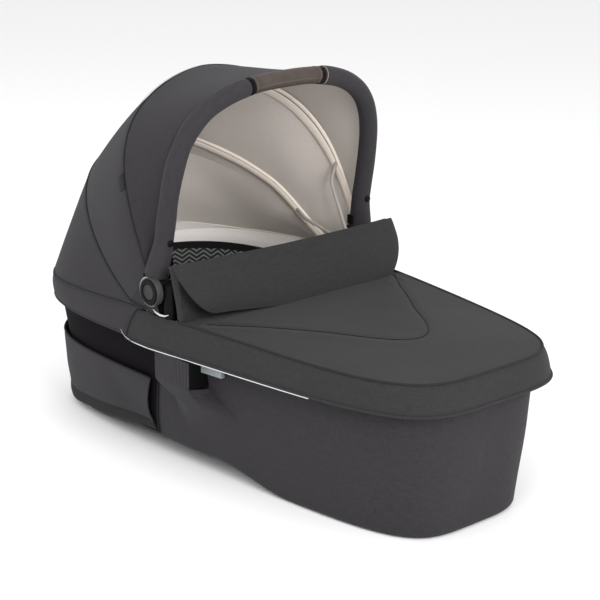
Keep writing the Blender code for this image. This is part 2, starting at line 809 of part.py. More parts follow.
def make_mattress(mats):
    """A crowned pad with drawn-in sides and sewn channels across it."""
    top = MATTRESS_LOW_Z + MATTRESS_HEIGHT
    pull = MATTRESS_MARGIN / 2
    rings = [
        at_height(mattress_outline(MATTRESS_MARGIN), MATTRESS_LOW_Z),
        at_height(mattress_outline(0.0), MATTRESS_LOW_Z + pull),
        at_height(mattress_outline(pull / 2), MATTRESS_LOW_Z + MATTRESS_HEIGHT / 2),
        at_height(mattress_outline(0.0), top - MATTRESS_HEIGHT / 4),
        at_height(mattress_outline(MATTRESS_MARGIN), top),
    ]
    points = [point for ring in rings for point in ring]
    count = len(rings[0])
    faces = ring_faces(count, len(rings)) + loop_caps(count, 0)
    shares = (0.86, 0.66, 0.4, 0.14)
    centre_x = (BASE_FOOT_X + BASE_HEAD_X) / 2
    last = rings[-1]
    for share in shares:
        for x, y, z in last:
            place = centre_x + (x - centre_x) * share
            channel = CHANNEL_DEPTH * math.cos(2.0 * math.pi * place / CHANNEL_PITCH)
            lift = MATTRESS_CROWN * (1.0 - share ** 2) + channel * (1.0 - share)
            points.append((place, y * share, z + lift))
    start = count * (len(rings) - 1)
    for ring in range(len(shares)):
        this = start + ring * count
        following = this + count
        for index in range(count):
            step = (index + 1) % count
            faces.append((this + index, this + step, following + step, following + index))
    faces += loop_caps(count, start + count * len(shares))
    return add_object("mattress", mesh_from(points, faces), mats["inner_fabric"])


def make_rim_frame(mats):
    path = np.array(at_height(rim_outline(0.0), RIM_Z))
    return add_object("rim_frame", rod_mesh(path, RIM_TUBE_R, TUBE_SIDES, True), mats["aluminium"])


def wrap_sheet(strip_low_out, strip_low_in, strip_high_out, strip_high_in):
    """A band round part of an outline from its low and high edges."""
    front = np.array([strip_low_out, strip_high_out])
    back = np.array([strip_low_in, strip_high_in])
    return sheet_mesh(front, back)


def make_mesh_panel(mats):
    grids = []
    for offset in (2 * GAP + MESH_THICK, 2 * GAP):
        grid = []
        for step in range(3):
            z = MESH_BOTTOM_Z + (MESH_TOP_Z - MESH_BOTTOM_Z) * step / 2
            grid.append(at_height(head_strip(tub_outline(z, offset), MESH_END_X), z))
        grids.append(np.array(grid))
    add_object("mesh_panel", sheet_mesh(grids[0], grids[1]), mats["mesh_fabric"])


def raised_strip(z, offset, end_x):
    """A strip on the tub's wall that keeps its height above the arched underside."""
    low = head_strip(tub_outline(z, offset), end_x)
    high = head_strip(tub_outline(z + ARCH_RISE, offset), end_x)
    row = []
    for (x, y), (high_x, high_y) in zip(low, high):
        rise = arch_rise(x)
        share = rise / ARCH_RISE
        row.append((x + (high_x - x) * share, y + (high_y - y) * share, z + rise))
    return row


def make_vent_flap(mats):
    """The open ventilation flap: hem on the wall below, loose edge standing off above."""
    hem_high = HEM_CLEAR + HEM_HEIGHT
    hem_grids = []
    for offset in (GAP + HEM_THICK, GAP):
        hem_grids.append([raised_strip(z, offset, VENT_END_X) for z in (HEM_CLEAR, hem_high)])
    hem = sheet_mesh(np.array(hem_grids[0]), np.array(hem_grids[1]))
    add_object("vent_hem", hem, mats["binding"])
    grids = []
    for offset in (GAP + VENT_THICK, GAP):
        low = np.array(raised_strip(hem_high + GAP, offset, VENT_END_X))
        high_z = VENT_TOP_Z - EDGE_HEIGHT - GAP
        high = np.array(at_height(head_strip(tub_outline(high_z, offset + VENT_STAND), VENT_END_X), high_z))
        grid = []
        for step in range(4):
            share = step / 3
            grid.append(low + (high - low) * share)
        grids.append(np.array(grid))
    add_object("vent_flap", sheet_mesh(grids[0], grids[1]), mats["outer_fabric"])
    edge_rows = []
    for offset in (GAP + HEM_THICK + VENT_STAND, GAP + VENT_STAND):
        pair = []
        for z in (VENT_TOP_Z - EDGE_HEIGHT, VENT_TOP_Z):
            outline = head_strip(tub_outline(VENT_TOP_Z, offset), VENT_END_X)
            pair.append(at_height(outline, z))
        edge_rows.append(pair)
    edge = wrap_sheet(edge_rows[0][0], edge_rows[1][0], edge_rows[0][1], edge_rows[1][1])
    add_object("vent_edge", edge, mats["binding"])


# Chassis adapters


def wall_tool(side, x_range, low_z, high_z):
    """The space inside the tub's wall beside an adapter, for shaping its back."""
    corners = []
    for x in (x_range[0] - OVERRUN, x_range[1] + OVERRUN):
        for z in (low_z, high_z):
            corners.append((x, half_width_at(tub_outline(z, 2 * GAP), x), z))
    points = []
    for inward in (0.0, OVERRUN + WALL + ADAPTER_OUT - BASE_HALF_WIDTH):
        points += [(x, side * (y - inward), z) for x, y, z in corners]
    faces = [(0, 1, 3, 2), (4, 6, 7, 5), (0, 4, 5, 1), (2, 3, 7, 6), (0, 2, 6, 4), (1, 5, 7, 3)]
    return tool(mesh_from(points, faces))


def lever_out(x, z):
    return half_width_at(tub_outline(z, 0.0), x) + LEVER_STAND


def lever_mesh(side, margin, low_z, high_z, rear_x):
    """The lever's curved bar, grown by a margin where it serves to cut its slot."""
    steps = 5
    front = []
    back = []
    slope_z = LEVER_LOW_Z + LEVER_HEIGHT + LEVER_TRAVEL
    for step in range(steps):
        x = rear_x + (LEVER_FRONT_X + margin - rear_x) * step / (steps - 1)
        inner = lever_out(x, slope_z) - margin
        outer = lever_out(x, slope_z) + LEVER_THICK + margin
        front.append([(x, side * outer, low_z), (x, side * outer, high_z)])
        back.append([(x, side * inner, low_z), (x, side * inner, high_z)])
    return sheet_mesh(np.array(front), np.array(back))


def make_adapter(side, mats):
    name = SIDE_NAMES[side]
    rim_low = RIM_Z - RIM_TUBE_R - GAP
    body = side_box(
        side,
        (ADAPTER_REAR_X, ADAPTER_FRONT_X),
        (BASE_HALF_WIDTH, ADAPTER_OUT),
        (ADAPTER_LOW_Z, ADAPTER_HIGH_Z),
    )
    adapter = add_object("adapter_" + name, body, mats["black_plastic"])
    hanger = side_box(
        side,
        (ADAPTER_REAR_X + SOCKET_HALF_X, ADAPTER_FRONT_X - SOCKET_HALF_X / 2),
        (BASE_HALF_WIDTH, half_width_at(rim_outline(RIM_TUBE_R), ADAPTER_FRONT_X)),
        (ADAPTER_HIGH_Z - EDGE_HEIGHT, rim_low),
    )
    combine(adapter, tool(hanger), "UNION")
    wall = wall_tool(side, (ADAPTER_REAR_X, ADAPTER_FRONT_X), ADAPTER_LOW_Z - OVERRUN, RIM_Z + OVERRUN)
    combine(adapter, wall, "DIFFERENCE")
    middle_x = (ADAPTER_REAR_X + ADAPTER_FRONT_X) / 2
    socket_y = ADAPTER_OUT - LEVER_THICK - SOCKET_HALF_Y / 2
    socket = side_box(
        side,
        (middle_x - 2 * SOCKET_HALF_X, middle_x),
        (socket_y - SOCKET_HALF_Y, socket_y + SOCKET_HALF_Y),
        (ADAPTER_LOW_Z - OVERRUN, ADAPTER_LOW_Z + SOCKET_DEPTH),
    )
    combine(adapter, tool(socket), "DIFFERENCE")
    slot_top = LEVER_LOW_Z + LEVER_HEIGHT + LEVER_SPRING_HEIGHT + GAP
    slot = lever_mesh(side, GAP, LEVER_LOW_Z - GAP, slot_top + GAP, LEVER_REAR_X - GAP)
    combine(adapter, tool(slot), "DIFFERENCE")
    lever = lever_mesh(side, 0.0, LEVER_LOW_Z, LEVER_LOW_Z + LEVER_HEIGHT, LEVER_REAR_X)
    add_object("release_lever_" + name, lever, mats["lever_plastic"])
    spring_x = LEVER_REAR_X + (ADAPTER_FRONT_X - LEVER_REAR_X) / 2
    spring_y = lever_out(spring_x, LEVER_LOW_Z + LEVER_HEIGHT + LEVER_TRAVEL) + LEVER_THICK / 2
    spring_low = LEVER_LOW_Z + LEVER_HEIGHT + GAP
    spring = helix_mesh(
        (spring_x, side * spring_y, spring_low),
        (0.0, 0.0, 1.0),
        (1.0, 0.0, 0.0),
        LEVER_SPRING_R,
        LEVER_SPRING_WIRE_R,
        slot_top - GAP - spring_low,
    )
    add_object("lever_spring_" + name, spring, mats["steel"])
    make_pillar(side, mats)


def make_pillar(side, mats):
    """The padded rib of the cover that runs from the adapter down to the base."""
    front = []
    back = []
    high = ADAPTER_LOW_Z - GAP
    for step in range(4):
        share = step / 3
        z = PILLAR_LOW_Z + (high - PILLAR_LOW_Z) * share
        depth = PILLAR_LOW_DEPTH + (PILLAR_TOP_DEPTH - PILLAR_LOW_DEPTH) * share
        outline = tub_outline(z, GAP)
        outer_row = []
        inner_row = []
        for place in range(7):
            across = place / 6
            x = ADAPTER_REAR_X + (ADAPTER_FRONT_X - ADAPTER_REAR_X) * across
            y = half_width_at(outline, x)
            bulge = depth * (1.0 - (2.0 * across - 1.0) ** 6)
            outer_row.append((x, side * (y + bulge + FABRIC), z))
            inner_row.append((x, side * y, z))
        front.append(outer_row)
        back.append(inner_row)
    mesh = sheet_mesh(np.array(front), np.array(back))
    add_object("side_pillar_" + SIDE_NAMES[side], mesh, mats["outer_fabric"])


def helix_mesh(start, axis, first, radius, wire, length):
    """A coil spring with a few turns between two flat faces."""
    origin = np.array(start)
    along = np.array(axis)
    across = np.array(first)
    third = np.cross(along, across)
    travel = length - 2 * wire
    points = []
    count = SPRING_TURNS * SPRING_STEPS + 1
    for step in range(count):
        share = step / (count - 1)
        turn = 2.0 * math.pi * SPRING_TURNS * share
        ring = radius * (math.cos(turn) * across + math.sin(turn) * third)
        points.append(origin + along * (wire + travel * share) + ring)
    return rod_mesh(np.array(points), wire, SPRING_SIDES)


# Hub


def disc_outline(x, z, radius, count=TURN_SIDES):
    turns = [2.0 * math.pi * step / count for step in range(count)]
    return [(x + radius * math.sin(turn), z + radius * math.cos(turn)) for turn in turns]


def bow_foot():
    return HUB_X - BOW_BACK, HUB_Z + BOW_RISE


def bow_point(up):
    foot_x, foot_z = bow_foot()
    return foot_x + up * math.sin(BOW_LEAN), foot_z + up * math.cos(BOW_LEAN)


def leg_outline(low_up, high_up, behind, ahead):
    """The four corners of a block on the bow's leg, two below and then two above."""
    corners = []
    for up, across in ((low_up, behind), (high_up, behind), (high_up, ahead), (low_up, ahead)):
        x, z = bow_point(up)
        corners.append((x + across * math.cos(BOW_LEAN), z - across * math.sin(BOW_LEAN)))
    return corners


def make_bracket(side, mats):
    """The fixed plate on the rim frame that carries the pivot pin."""
    name = SIDE_NAMES[side]
    plate = prism_mesh(disc_outline(HUB_X, HUB_Z, BRACKET_R), BRACKET_IN, BRACKET_OUT, side)
    bracket = add_object("hub_bracket_" + name, plate, mats["black_plastic"])
    saddle_low = RIM_Z + 2 * GAP
    saddle_high = RIM_Z + SADDLE_ABOVE
    stem = side_box(
        side, (HUB_X - STEM_HALF, HUB_X + STEM_HALF), (BRACKET_IN, BRACKET_OUT), (saddle_low, HUB_Z)
    )
    combine(bracket, tool(stem), "UNION")
    saddle = side_box(
        side,
        (HUB_X - STEM_HALF, HUB_X + STEM_HALF),
        (BRACKET_IN, SADDLE_OUT),
        (saddle_low, saddle_high),
    )
    combine(bracket, tool(saddle), "UNION")
    boss = prism_mesh(
        disc_outline(HUB_X, HUB_Z, BRACKET_BOSS_R), FRONT_RIB_Y + RIB_R + GAP, BRACKET_OUT - GAP, side
    )
    combine(bracket, tool(boss), "UNION")
    rim = rod_mesh(np.array(at_height(rim_outline(0.0), RIM_Z)), RIM_TUBE_R + GAP, TUBE_SIDES, True)
    combine(bracket, tool(rim), "DIFFERENCE")
    hole = prism_mesh(
        disc_outline(HUB_X, HUB_Z, PIN_R + RUN), REAR_RIB_Y - OVERRUN, BRACKET_OUT + OVERRUN, side
    )
    combine(bracket, tool(hole), "DIFFERENCE")


def make_pin(side, mats):
    """The pivot pin: head inside the ribs, end in the housing's recess."""
    head_high = REAR_RIB_Y - RIB_R - GAP
    profile = [
        (PIN_HEAD_R, head_high - PIN_HEAD),
        (PIN_HEAD_R, head_high),
        (PIN_R, head_high),
        (PIN_R, RECESS_FLOOR + GAP),
    ]
    mesh = turned_mesh(profile, HUB_X, HUB_Z, side)
    add_object("pivot_pin_" + SIDE_NAMES[side], mesh, mats["steel"])


def make_housing(side, mats):
    """The turning hub on the bow: disc with a pointed crest, arm and tube socket."""
    name = SIDE_NAMES[side]
    rounded = HOUSING_R - HOUSING_BEVEL
    profile = [
        (HOUSING_R, HOUSING_IN),
        (HOUSING_R, HOUSING_OUT - HOUSING_BEVEL),
        (rounded, HOUSING_OUT),
    ]
    disc = turned_mesh(profile, HUB_X, HUB_Z, side)
    housing = add_object("hub_housing_" + name, disc, mats["hub_plastic"], (HUB_X, 0.0, HUB_Z))
    tip = (HUB_X + SPIKE_LENGTH * math.sin(SPIKE_LEAN), HUB_Z + SPIKE_LENGTH * math.cos(SPIKE_LEAN))
    left_base = (HUB_X - HOUSING_R * math.cos(SPIKE_LEAN) / 2, HUB_Z + HOUSING_R / 2)
    spike = [
        (left_base[0] - SPIKE_HALF, left_base[1]),
        tip,
        (tip[0] + SPIKE_HALF / 3, tip[1] - SPIKE_HALF / 3),
        (HUB_X + SPIKE_HALF, HUB_Z + HOUSING_R / 2),
    ]
    combine(housing, tool(prism_mesh(spike, SPIKE_IN, SPIKE_OUT, side)), "UNION")
    inset = FOOT_PLATE_HALF - RUN
    plate = leg_outline(BOW_START - RUN - FOOT_PLATE, BOW_START - RUN, -FOOT_PLATE_HALF, FOOT_PLATE_HALF)
    combine(housing, tool(prism_mesh(plate, FOOT_PLATE_IN, ARM_OUT, side)), "UNION")
    block = leg_outline(BOW_START - RUN - FOOT_PLATE / 2, BOW_START, -inset, inset)
    arm = [(HUB_X + HOUSING_R / 2, HUB_Z), (HUB_X - HOUSING_R / 2, HUB_Z), block[0], block[3]]
    combine(housing, tool(prism_mesh(arm, HOUSING_IN, ARM_OUT, side)), "UNION")
    low_x, low_z = bow_point(BOW_START - RUN - FOOT_PLATE / 2)
    high_x, high_z = bow_point(BOW_START + SPIGOT_LENGTH)
    ends = [(low_x, side * BOW_HALF_WIDTH, low_z), (high_x, side * BOW_HALF_WIDTH, high_z)]
    combine(housing, tool(rod_mesh(np.array(ends), SPIGOT_R, 12)), "UNION")
    recess = prism_mesh(disc_outline(HUB_X, HUB_Z, RECESS_R), RECESS_FLOOR, HOUSING_OUT + OVERRUN, side)
    combine(housing, tool(recess), "DIFFERENCE")
    hole = prism_mesh(
        disc_outline(HUB_X, HUB_Z, PIN_R + RUN), HOUSING_IN - OVERRUN, RECESS_FLOOR + OVERRUN, side
    )
    combine(housing, tool(hole), "DIFFERENCE")


def make_button(side, mats):
    name = SIDE_NAMES[side]
    high = HOUSING_OUT - BUTTON_SINK
    low = high - BUTTON_HEIGHT
    dish = BUTTON_SINK
    profile = [
        (BUTTON_R, low),
        (BUTTON_R, high - dish),
        (BUTTON_R - dish, high),
        (BUTTON_R - 3 * dish, high),
        (BUTTON_R - 4 * dish, high - dish),
    ]
    mesh = turned_mesh(profile, HUB_X, HUB_Z, side)
    add_object("hub_button_" + name, mesh, mats["hub_plastic"], (HUB_X, 0.0, HUB_Z))
    length = low - GAP - (RECESS_FLOOR + GAP)
    spring = helix_mesh(
        (HUB_X, side * (RECESS_FLOOR + GAP), HUB_Z),
        (0.0, float(side), 0.0),
        (1.0, 0.0, 0.0),
        SPRING_R,
        SPRING_WIRE_R,
        length,
    )
    add_object("button_spring_" + name, spring, mats["steel"], (HUB_X, 0.0, HUB_Z))


# Bow


def make_bow(mats):
    pivot = (HUB_X, 0.0, HUB_Z)
    flat = (math.cos(BOW_LEAN), 0.0, -math.sin(BOW_LEAN))
    path = bow_path()
    length = lengths_along(path)[-1]
    mesh = pipe_mesh(path, BOW_TUBE_R, BOW_TUBE_R - BOW_TUBE_WALL, BOW_SIDES, flat)
    add_object("bow_tube", mesh, mats["aluminium"], pivot)
    inner = BOW_TUBE_R + GAP
    grip_start = length / 2 - GRIP_HALF_LENGTH
    ring_start = grip_start - GAP - RING_LENGTH
    for side in (LEFT, RIGHT):
        name = SIDE_NAMES[side]
        mirror = np.array([1.0, -float(side), 1.0])
        sleeve = pipe_mesh(cut_path(path, GAP, ring_start - RING_GAP) * mirror, SLEEVE_R, inner, BOW_SIDES, flat)
        add_object("bow_sleeve_" + name, sleeve, mats["outer_fabric"], pivot)
        stretch = cut_path(path, ring_start, ring_start + RING_LENGTH)
        ring = pipe_mesh(stretch * mirror, RING_R, inner, BOW_SIDES, flat)
        add_object("grip_ring_" + name, ring, mats["black_plastic"], pivot)
    grip = pipe_mesh(cut_path(path, grip_start, length - grip_start), GRIP_R, inner, BOW_SIDES, flat)
    add_object("grip", grip, mats["leatherette"], pivot)


def make_fittings(side, mats):
    """A press stud on the front of the bow and a small clip on its inner face."""
    name = SIDE_NAMES[side]
    pivot = (HUB_X, 0.0, HUB_Z)
    x, z = bow_point(SNAP_UP)
    start = x + (SLEEVE_R + GAP) / math.cos(BOW_LEAN) + SNAP_R * math.tan(BOW_LEAN)
    sides = 12
    points = []
    profile = [(SNAP_R, 0.0), (SNAP_R, SNAP_HEIGHT / 2), (SNAP_R / 2, SNAP_HEIGHT)]
    for radius, out in profile:
        for step in range(sides):
            turn = 2.0 * math.pi * step / sides
            points.append((
                start + out,
                side * BOW_HALF_WIDTH + radius * math.sin(turn),
                z + radius * math.cos(turn),
            ))
    faces = ring_faces(sides, len(profile))
    faces.append(tuple(reversed(range(sides))))
    faces.append(tuple(range(sides * (len(profile) - 1), sides * len(profile))))
    add_object("snap_stud_" + name, mesh_from(points, faces), mats["black_plastic"], pivot)
    x, z = bow_point(CLIP_UP)
    high = BOW_HALF_WIDTH - SLEEVE_R - GAP
    clip = side_box(
        side,
        (x - CLIP_WIDTH / 2, x + CLIP_WIDTH / 2),
        (high - CLIP_THICK, high),
        (z - CLIP_LENGTH / 2, z + CLIP_LENGTH / 2),
    )
    add_object("bow_clip_" + name, clip, mats["black_plastic"], pivot)


# Ribs


def rib_path(seam, depth, plane_y):
    """A hoop under a seam whose ends bend in to their eyelets on the pivot."""
    hub = np.array([HUB_X, HUB_Z])
    join = seam(depth, RIB_BEND_END, PANEL_STEPS)[0]
    outward = join[[0, 2]] - hub
    reach = float(np.linalg.norm(outward))
    arc = seam(depth, COVER_START, PANEL_STEPS)
    far = [point for point in arc if np.linalg.norm(point[[0, 2]] - hub) > reach + EYELET_R]
    legs = []
    start = EYELET_R - RIB_R
    for step in range(RIB_LEG_STEPS + 1):
        distance = start + (reach - start) * step / RIB_LEG_STEPS
        place = hub + outward * (distance / reach)
        share = smooth((distance - RIB_BEND_START) / (reach - RIB_BEND_START))
        legs.append((place[0], -(plane_y + (abs(join[1]) - plane_y) * share), place[1]))
    legs = np.array(legs)
    mirrored = legs[::-1] * np.array([1.0, -1.0, 1.0])
    return np.concatenate([legs, np.array(far), mirrored])


def make_rib(name, seam, plane_y, mats):
    path = rib_path(seam, FABRIC + 4 * GAP + RIB_R, plane_y)
    rib = add_object(name, rod_mesh(path, RIB_R, WIRE_SIDES), mats["steel"])
    for side in (LEFT, RIGHT):
        eyelet = washer_mesh(
            PIN_R + RUN, EYELET_R, plane_y - EYELET_HALF, plane_y + EYELET_HALF, HUB_X, HUB_Z, side, 16
        )
        combine(rib, tool(eyelet), "UNION")
    mesh = rib.data
    offset = Vector((HUB_X, 0.0, HUB_Z))
    for vertex in mesh.vertices:
        vertex.co -= offset
    rib.location = offset
    return rib


def make_ribs(mats):
    make_rib("rib_front", front_arc, FRONT_RIB_Y, mats)
    make_rib("rib_rear", rear_arc, REAR_RIB_Y, mats)


# Hood panels


def tuck(seam, depth, starts, inward):
    """A lining seam whose lower ends pass inside the ribs' ends."""
    hub = np.array([HUB_X, HUB_Z])
    points = seam(depth, starts, PANEL_STEPS)
    reach = float(np.linalg.norm(seam(depth, RIB_BEND_END, PANEL_STEPS)[0][[0, 2]] - hub))
    tucked = points.copy()
    for index, distance in enumerate(np.linalg.norm(points[:, [0, 2]] - hub, axis=1)):
        share = smooth((distance - RIB_BEND_START) / (reach - RIB_BEND_START))
        width = abs(points[index][1])
        low = min(width, LINING_LOW_Y - inward)
        tucked[index][1] = math.copysign(low + (width - low) * share, points[index][1])
    return tucked


def panel_grid(first, second, depth, starts, tucked=None):
    """Points between two seams at a depth under the outer face."""
    if tucked is None:
        low = first(depth, starts[0], PANEL_STEPS)
        high = second(depth, starts[1], PANEL_STEPS)
    else:
        low = tuck(first, depth, starts[0], tucked)
        high = tuck(second, depth, starts[1], tucked)
    length = np.linalg.norm(high - low, axis=1)
    grid = []
    for row in range(PANEL_ROWS + 1):
        share = row / PANEL_ROWS
        trim = PANEL_EDGE / np.maximum(length, PANEL_EDGE * 4)
        blend = (trim + (1.0 - 2.0 * trim) * share)[:, None]
        grid.append(low * (1.0 - blend) + high * blend)
    return np.array(grid)


LINING_DEPTH = FABRIC + 2 * GAP + 2 * RIB_R + LINING_SLACK


def make_hood(mats):
    panels = {
        "front": (front_arc, edge_arc, (COVER_START, COVER_START)),
        "middle": (front_arc, rear_arc, (COVER_START, REAR_START)),
        "rear": (rear_arc, band_arc, (REAR_START, BAND_START)),
    }
    bend = (RIB_BEND_END - RIB_BEND_START) / 3
    legs = (LINING_START,) + tuple(RIB_BEND_START + bend * step for step in range(4))
    low_starts = (legs, legs)
    linings = {
        "front": (lining_edge_arc, front_arc),
        "middle": (front_arc, lining_rear_arc),
        "rear": (lining_rear_arc, lining_band_arc),
    }
    for name, (first, second, starts) in panels.items():
        outer = panel_grid(first, second, 0.0, starts)
        inner = panel_grid(first, second, FABRIC, starts)
        add_object("hood_cover_" + name, sheet_mesh(inner, outer), mats["outer_fabric"])
        first, second = linings[name]
        outer = panel_grid(first, second, LINING_DEPTH, low_starts, 0.0)
        inner = panel_grid(first, second, LINING_DEPTH + LINING, low_starts, LINING)
        add_object("hood_lining_" + name, sheet_mesh(outer, inner), mats["lining_fabric"])


def make_hood_band(mats):
    """The collar of fabric round the head end between the hood and the tub."""
    slope = math.tan(BAND_SEAM_ANGLE + math.pi / 2)
    step_x = SKIRT_END_X - PANEL_EDGE
    grids = []
    for depth in (0.0, FABRIC):
        outline = egg(HOOD_HALF_WIDTH - depth, COVER_FOOT_X, HOOD_HEAD_X + depth, COVER_NARROWING)
        strip = head_strip(outline, step_x)
        y = strip[0][1]
        ends = [(BAND_FRONT_X, half_width_at(outline, BAND_FRONT_X)), (step_x + PANEL_EDGE / 2, y)]
        strip = ends + strip + [(x, -y) for x, y in reversed(ends)]
        grid = []
        for share in (0.0, 0.5, 1.0):
            row = []
            for x, y in strip:
                top = HUB_Z - BAND_SEAM_DROP + (x - HUB_X) * -slope - 2 * PANEL_EDGE
                low = SKIRT_BOTTOM_Z if x <= step_x else PIPING_Z + PIPING_RISE + PIPING_R + GAP
                row.append((x, y, low + (top - low) * share))
            grid.append(row)
        grids.append(np.array(grid))
    add_object("hood_band", sheet_mesh(grids[0], grids[1]), mats["outer_fabric"])


def make_tag(mats):
    """A small sewn tag beside the front seam on the left."""
    arc = front_arc(0.0, COVER_START, 200)
    index = int(len(arc) * TAG_SHARE)
    centre = arc[index]
    before = arc[index - 1]
    across = (arc[index + 1] - before) / np.linalg.norm(arc[index + 1] - before)
    neighbour = rear_arc(0.0, COVER_START, 200)[index]
    ahead = neighbour - centre
    ahead /= np.linalg.norm(ahead)
    normal = np.cross(ahead, across)
    normal /= np.linalg.norm(normal)
    if normal[1] > 0.0:
        normal = -normal
    base = centre + ahead * PANEL_EDGE * 2 + normal * (GAP + TAG_THICK / 2)
    grids = []
    for lift in (TAG_THICK, 0.0):
        grid = []
        for row in (0.0, 1.0):
            line = []
            for column in (-0.5, 0.5):
                line.append(base + ahead * TAG_WIDTH * row + across * TAG_LENGTH * column + normal * lift)
            grid.append(line)
        grids.append(np.array(grid))
    add_object("sewn_tag", sheet_mesh(grids[0], grids[1]), mats["binding"])


# Apron


def piping_z(x):
    return PIPING_Z + PIPING_RISE * smooth((PIPING_RISE_X - x) / (PIPING_RISE_X - APRON_X))


def make_apron_top(mats):
    """The taut panel over the foot end, slightly crowned."""
    inset = PIPING_R + 3 * GAP
    strip = foot_strip(cover_outline(-inset), APRON_X)
    start = strip[0]
    for step in range(1, 8):
        strip.append((start[0], -start[1] + (start[1] + start[1]) * step / 8))
    centre_x = (APRON_X + COVER_FOOT_X) / 2
    shares = (1.0, 0.93, 0.8, 0.6, 0.35, 0.12)
    count = len(strip)
    points = []
    for lift in (FABRIC, 0.0):
        for share in shares if lift else reversed(shares):
            for x, y in strip:
                place = centre_x + (x - centre_x) * share
                z = piping_z(place) - PIPING_R + lift + APRON_CROWN * (1.0 - share ** 2)
                points.append((place, y * share, z))
    rings = 2 * len(shares)
    faces = []
    for ring in range(rings):
        if ring == len(shares) - 1 or ring == rings - 1:
            continue
        this = ring * count
        following = (ring + 1) * count
        for index in range(count):
            step = (index + 1) % count
            faces.append((this + index, this + step, following + step, following + index))
    outer_rim = 0
    inner_rim = (rings - 1) * count
    for index in range(count):
        step = (index + 1) % count
        faces.append((inner_rim + index, inner_rim + step, outer_rim + step, outer_rim + index))
    faces.append(tuple(range((len(shares) - 1) * count, len(shares) * count)))
    faces.append(tuple(reversed(range(len(shares) * count, (len(shares) + 1) * count))))
    add_object("apron_top", mesh_from(points, faces), mats["outer_fabric"])


def skirt_outline(share, depth):
    """Skirt outline from its top (share 0) to its bottom (share 1)."""
    flare = SKIRT_FLARE * share - depth
    foot_flare = SKIRT_FOOT_FLARE * share - depth
    return egg(COVER_HALF_WIDTH + flare, COVER_FOOT_X + foot_flare, HOOD_HEAD_X - flare, COVER_NARROWING)


def make_skirt(mats):
    """The sides of the apron, from a rounded shoulder under the piping down over the rim."""
    grids = []
    for depth in (0.0, FABRIC):
        top = foot_strip(cover_outline(SHOULDER_OUT / 2 - depth), SKIRT_END_X + PANEL_EDGE)
        grid = [[(x, y, piping_z(x) - PIPING_R - GAP - depth) for x, y in top]]
        shoulder_z = PIPING_Z - PIPING_R - GAP - SHOULDER
        for step in range(3):
            share = step / 2
            z = shoulder_z + (SKIRT_BOTTOM_Z - shoulder_z) * share
            outline = skirt_outline(share, depth - SHOULDER_OUT)
            grid.append(at_height(foot_strip(outline, SKIRT_END_X + PANEL_EDGE), z))
        grids.append(np.array(grid))
    add_object("apron_skirt", sheet_mesh(grids[0], grids[1]), mats["outer_fabric"])


def make_pipings(mats):
    strip = foot_strip(cover_outline(0.0), APRON_X - PIPING_R)
    path = resample(np.array([(x, y, piping_z(x)) for x, y in strip]), 40)
    add_object("apron_piping", rod_mesh(path, PIPING_R, WIRE_SIDES), mats["binding"])
    edge = foot_strip(skirt_outline(1.0, FABRIC / 2 - SHOULDER_OUT), SKIRT_END_X + PANEL_EDGE)
    z = SKIRT_BOTTOM_Z - GAP - BRIGHT_PIPING_R
    right = [point for point in edge if point[1] > 0.0 and point[0] < BRIGHT_PIPING_END_X]
    right.sort()
    for side in (LEFT, RIGHT):
        path = resample(np.array([(x, side * y, z) for x, y in right]), 12)
        mesh = rod_mesh(path, BRIGHT_PIPING_R, WIRE_SIDES)
        add_object("bright_piping_" + SIDE_NAMES[side], mesh, mats["reflective"])


def ridge_sag(y):
    share = abs(y) / COVER_HALF_WIDTH
    return RIDGE_SAG * (1.0 - share ** 2)


def make_apron_wall(mats):
    """The upright panel behind the wind flap, with the rolled ridge along its top."""
    low = RIM_Z + RIM_TUBE_R + GAP
    base_x = APRON_X - GAP
    profile = [(base_x, low), (RIDGE_X + APRON_WALL / 2, RIDGE_Z - RIDGE_R)]
    for step in range(7):
        turn = math.radians(-60.0) + math.radians(300.0) * step / 6
        profile.append((RIDGE_X + RIDGE_R * math.cos(turn), RIDGE_Z + RIDGE_R * math.sin(turn)))
    profile.append((RIDGE_X - APRON_WALL / 2, RIDGE_Z - RIDGE_R))
    profile.append((base_x - APRON_WALL, low))
    half = half_width_at(cover_outline(-PIPING_R - GAP), APRON_X)
    sections = 11
    points = []
    for section in range(sections):
        y = half * (2.0 * section / (sections - 1) - 1.0)
        for x, z in profile:
            share = (z - low) / (RIDGE_Z - low)
            points.append((x, y, z - ridge_sag(y) * share))
    count = len(profile)
    faces = ring_faces(count, sections)
    faces.append(tuple(reversed(range(count))))
    faces.append(tuple(range(count * (sections - 1), count * sections)))
    add_object("apron_wall", mesh_from(points, faces), mats["outer_fabric"])


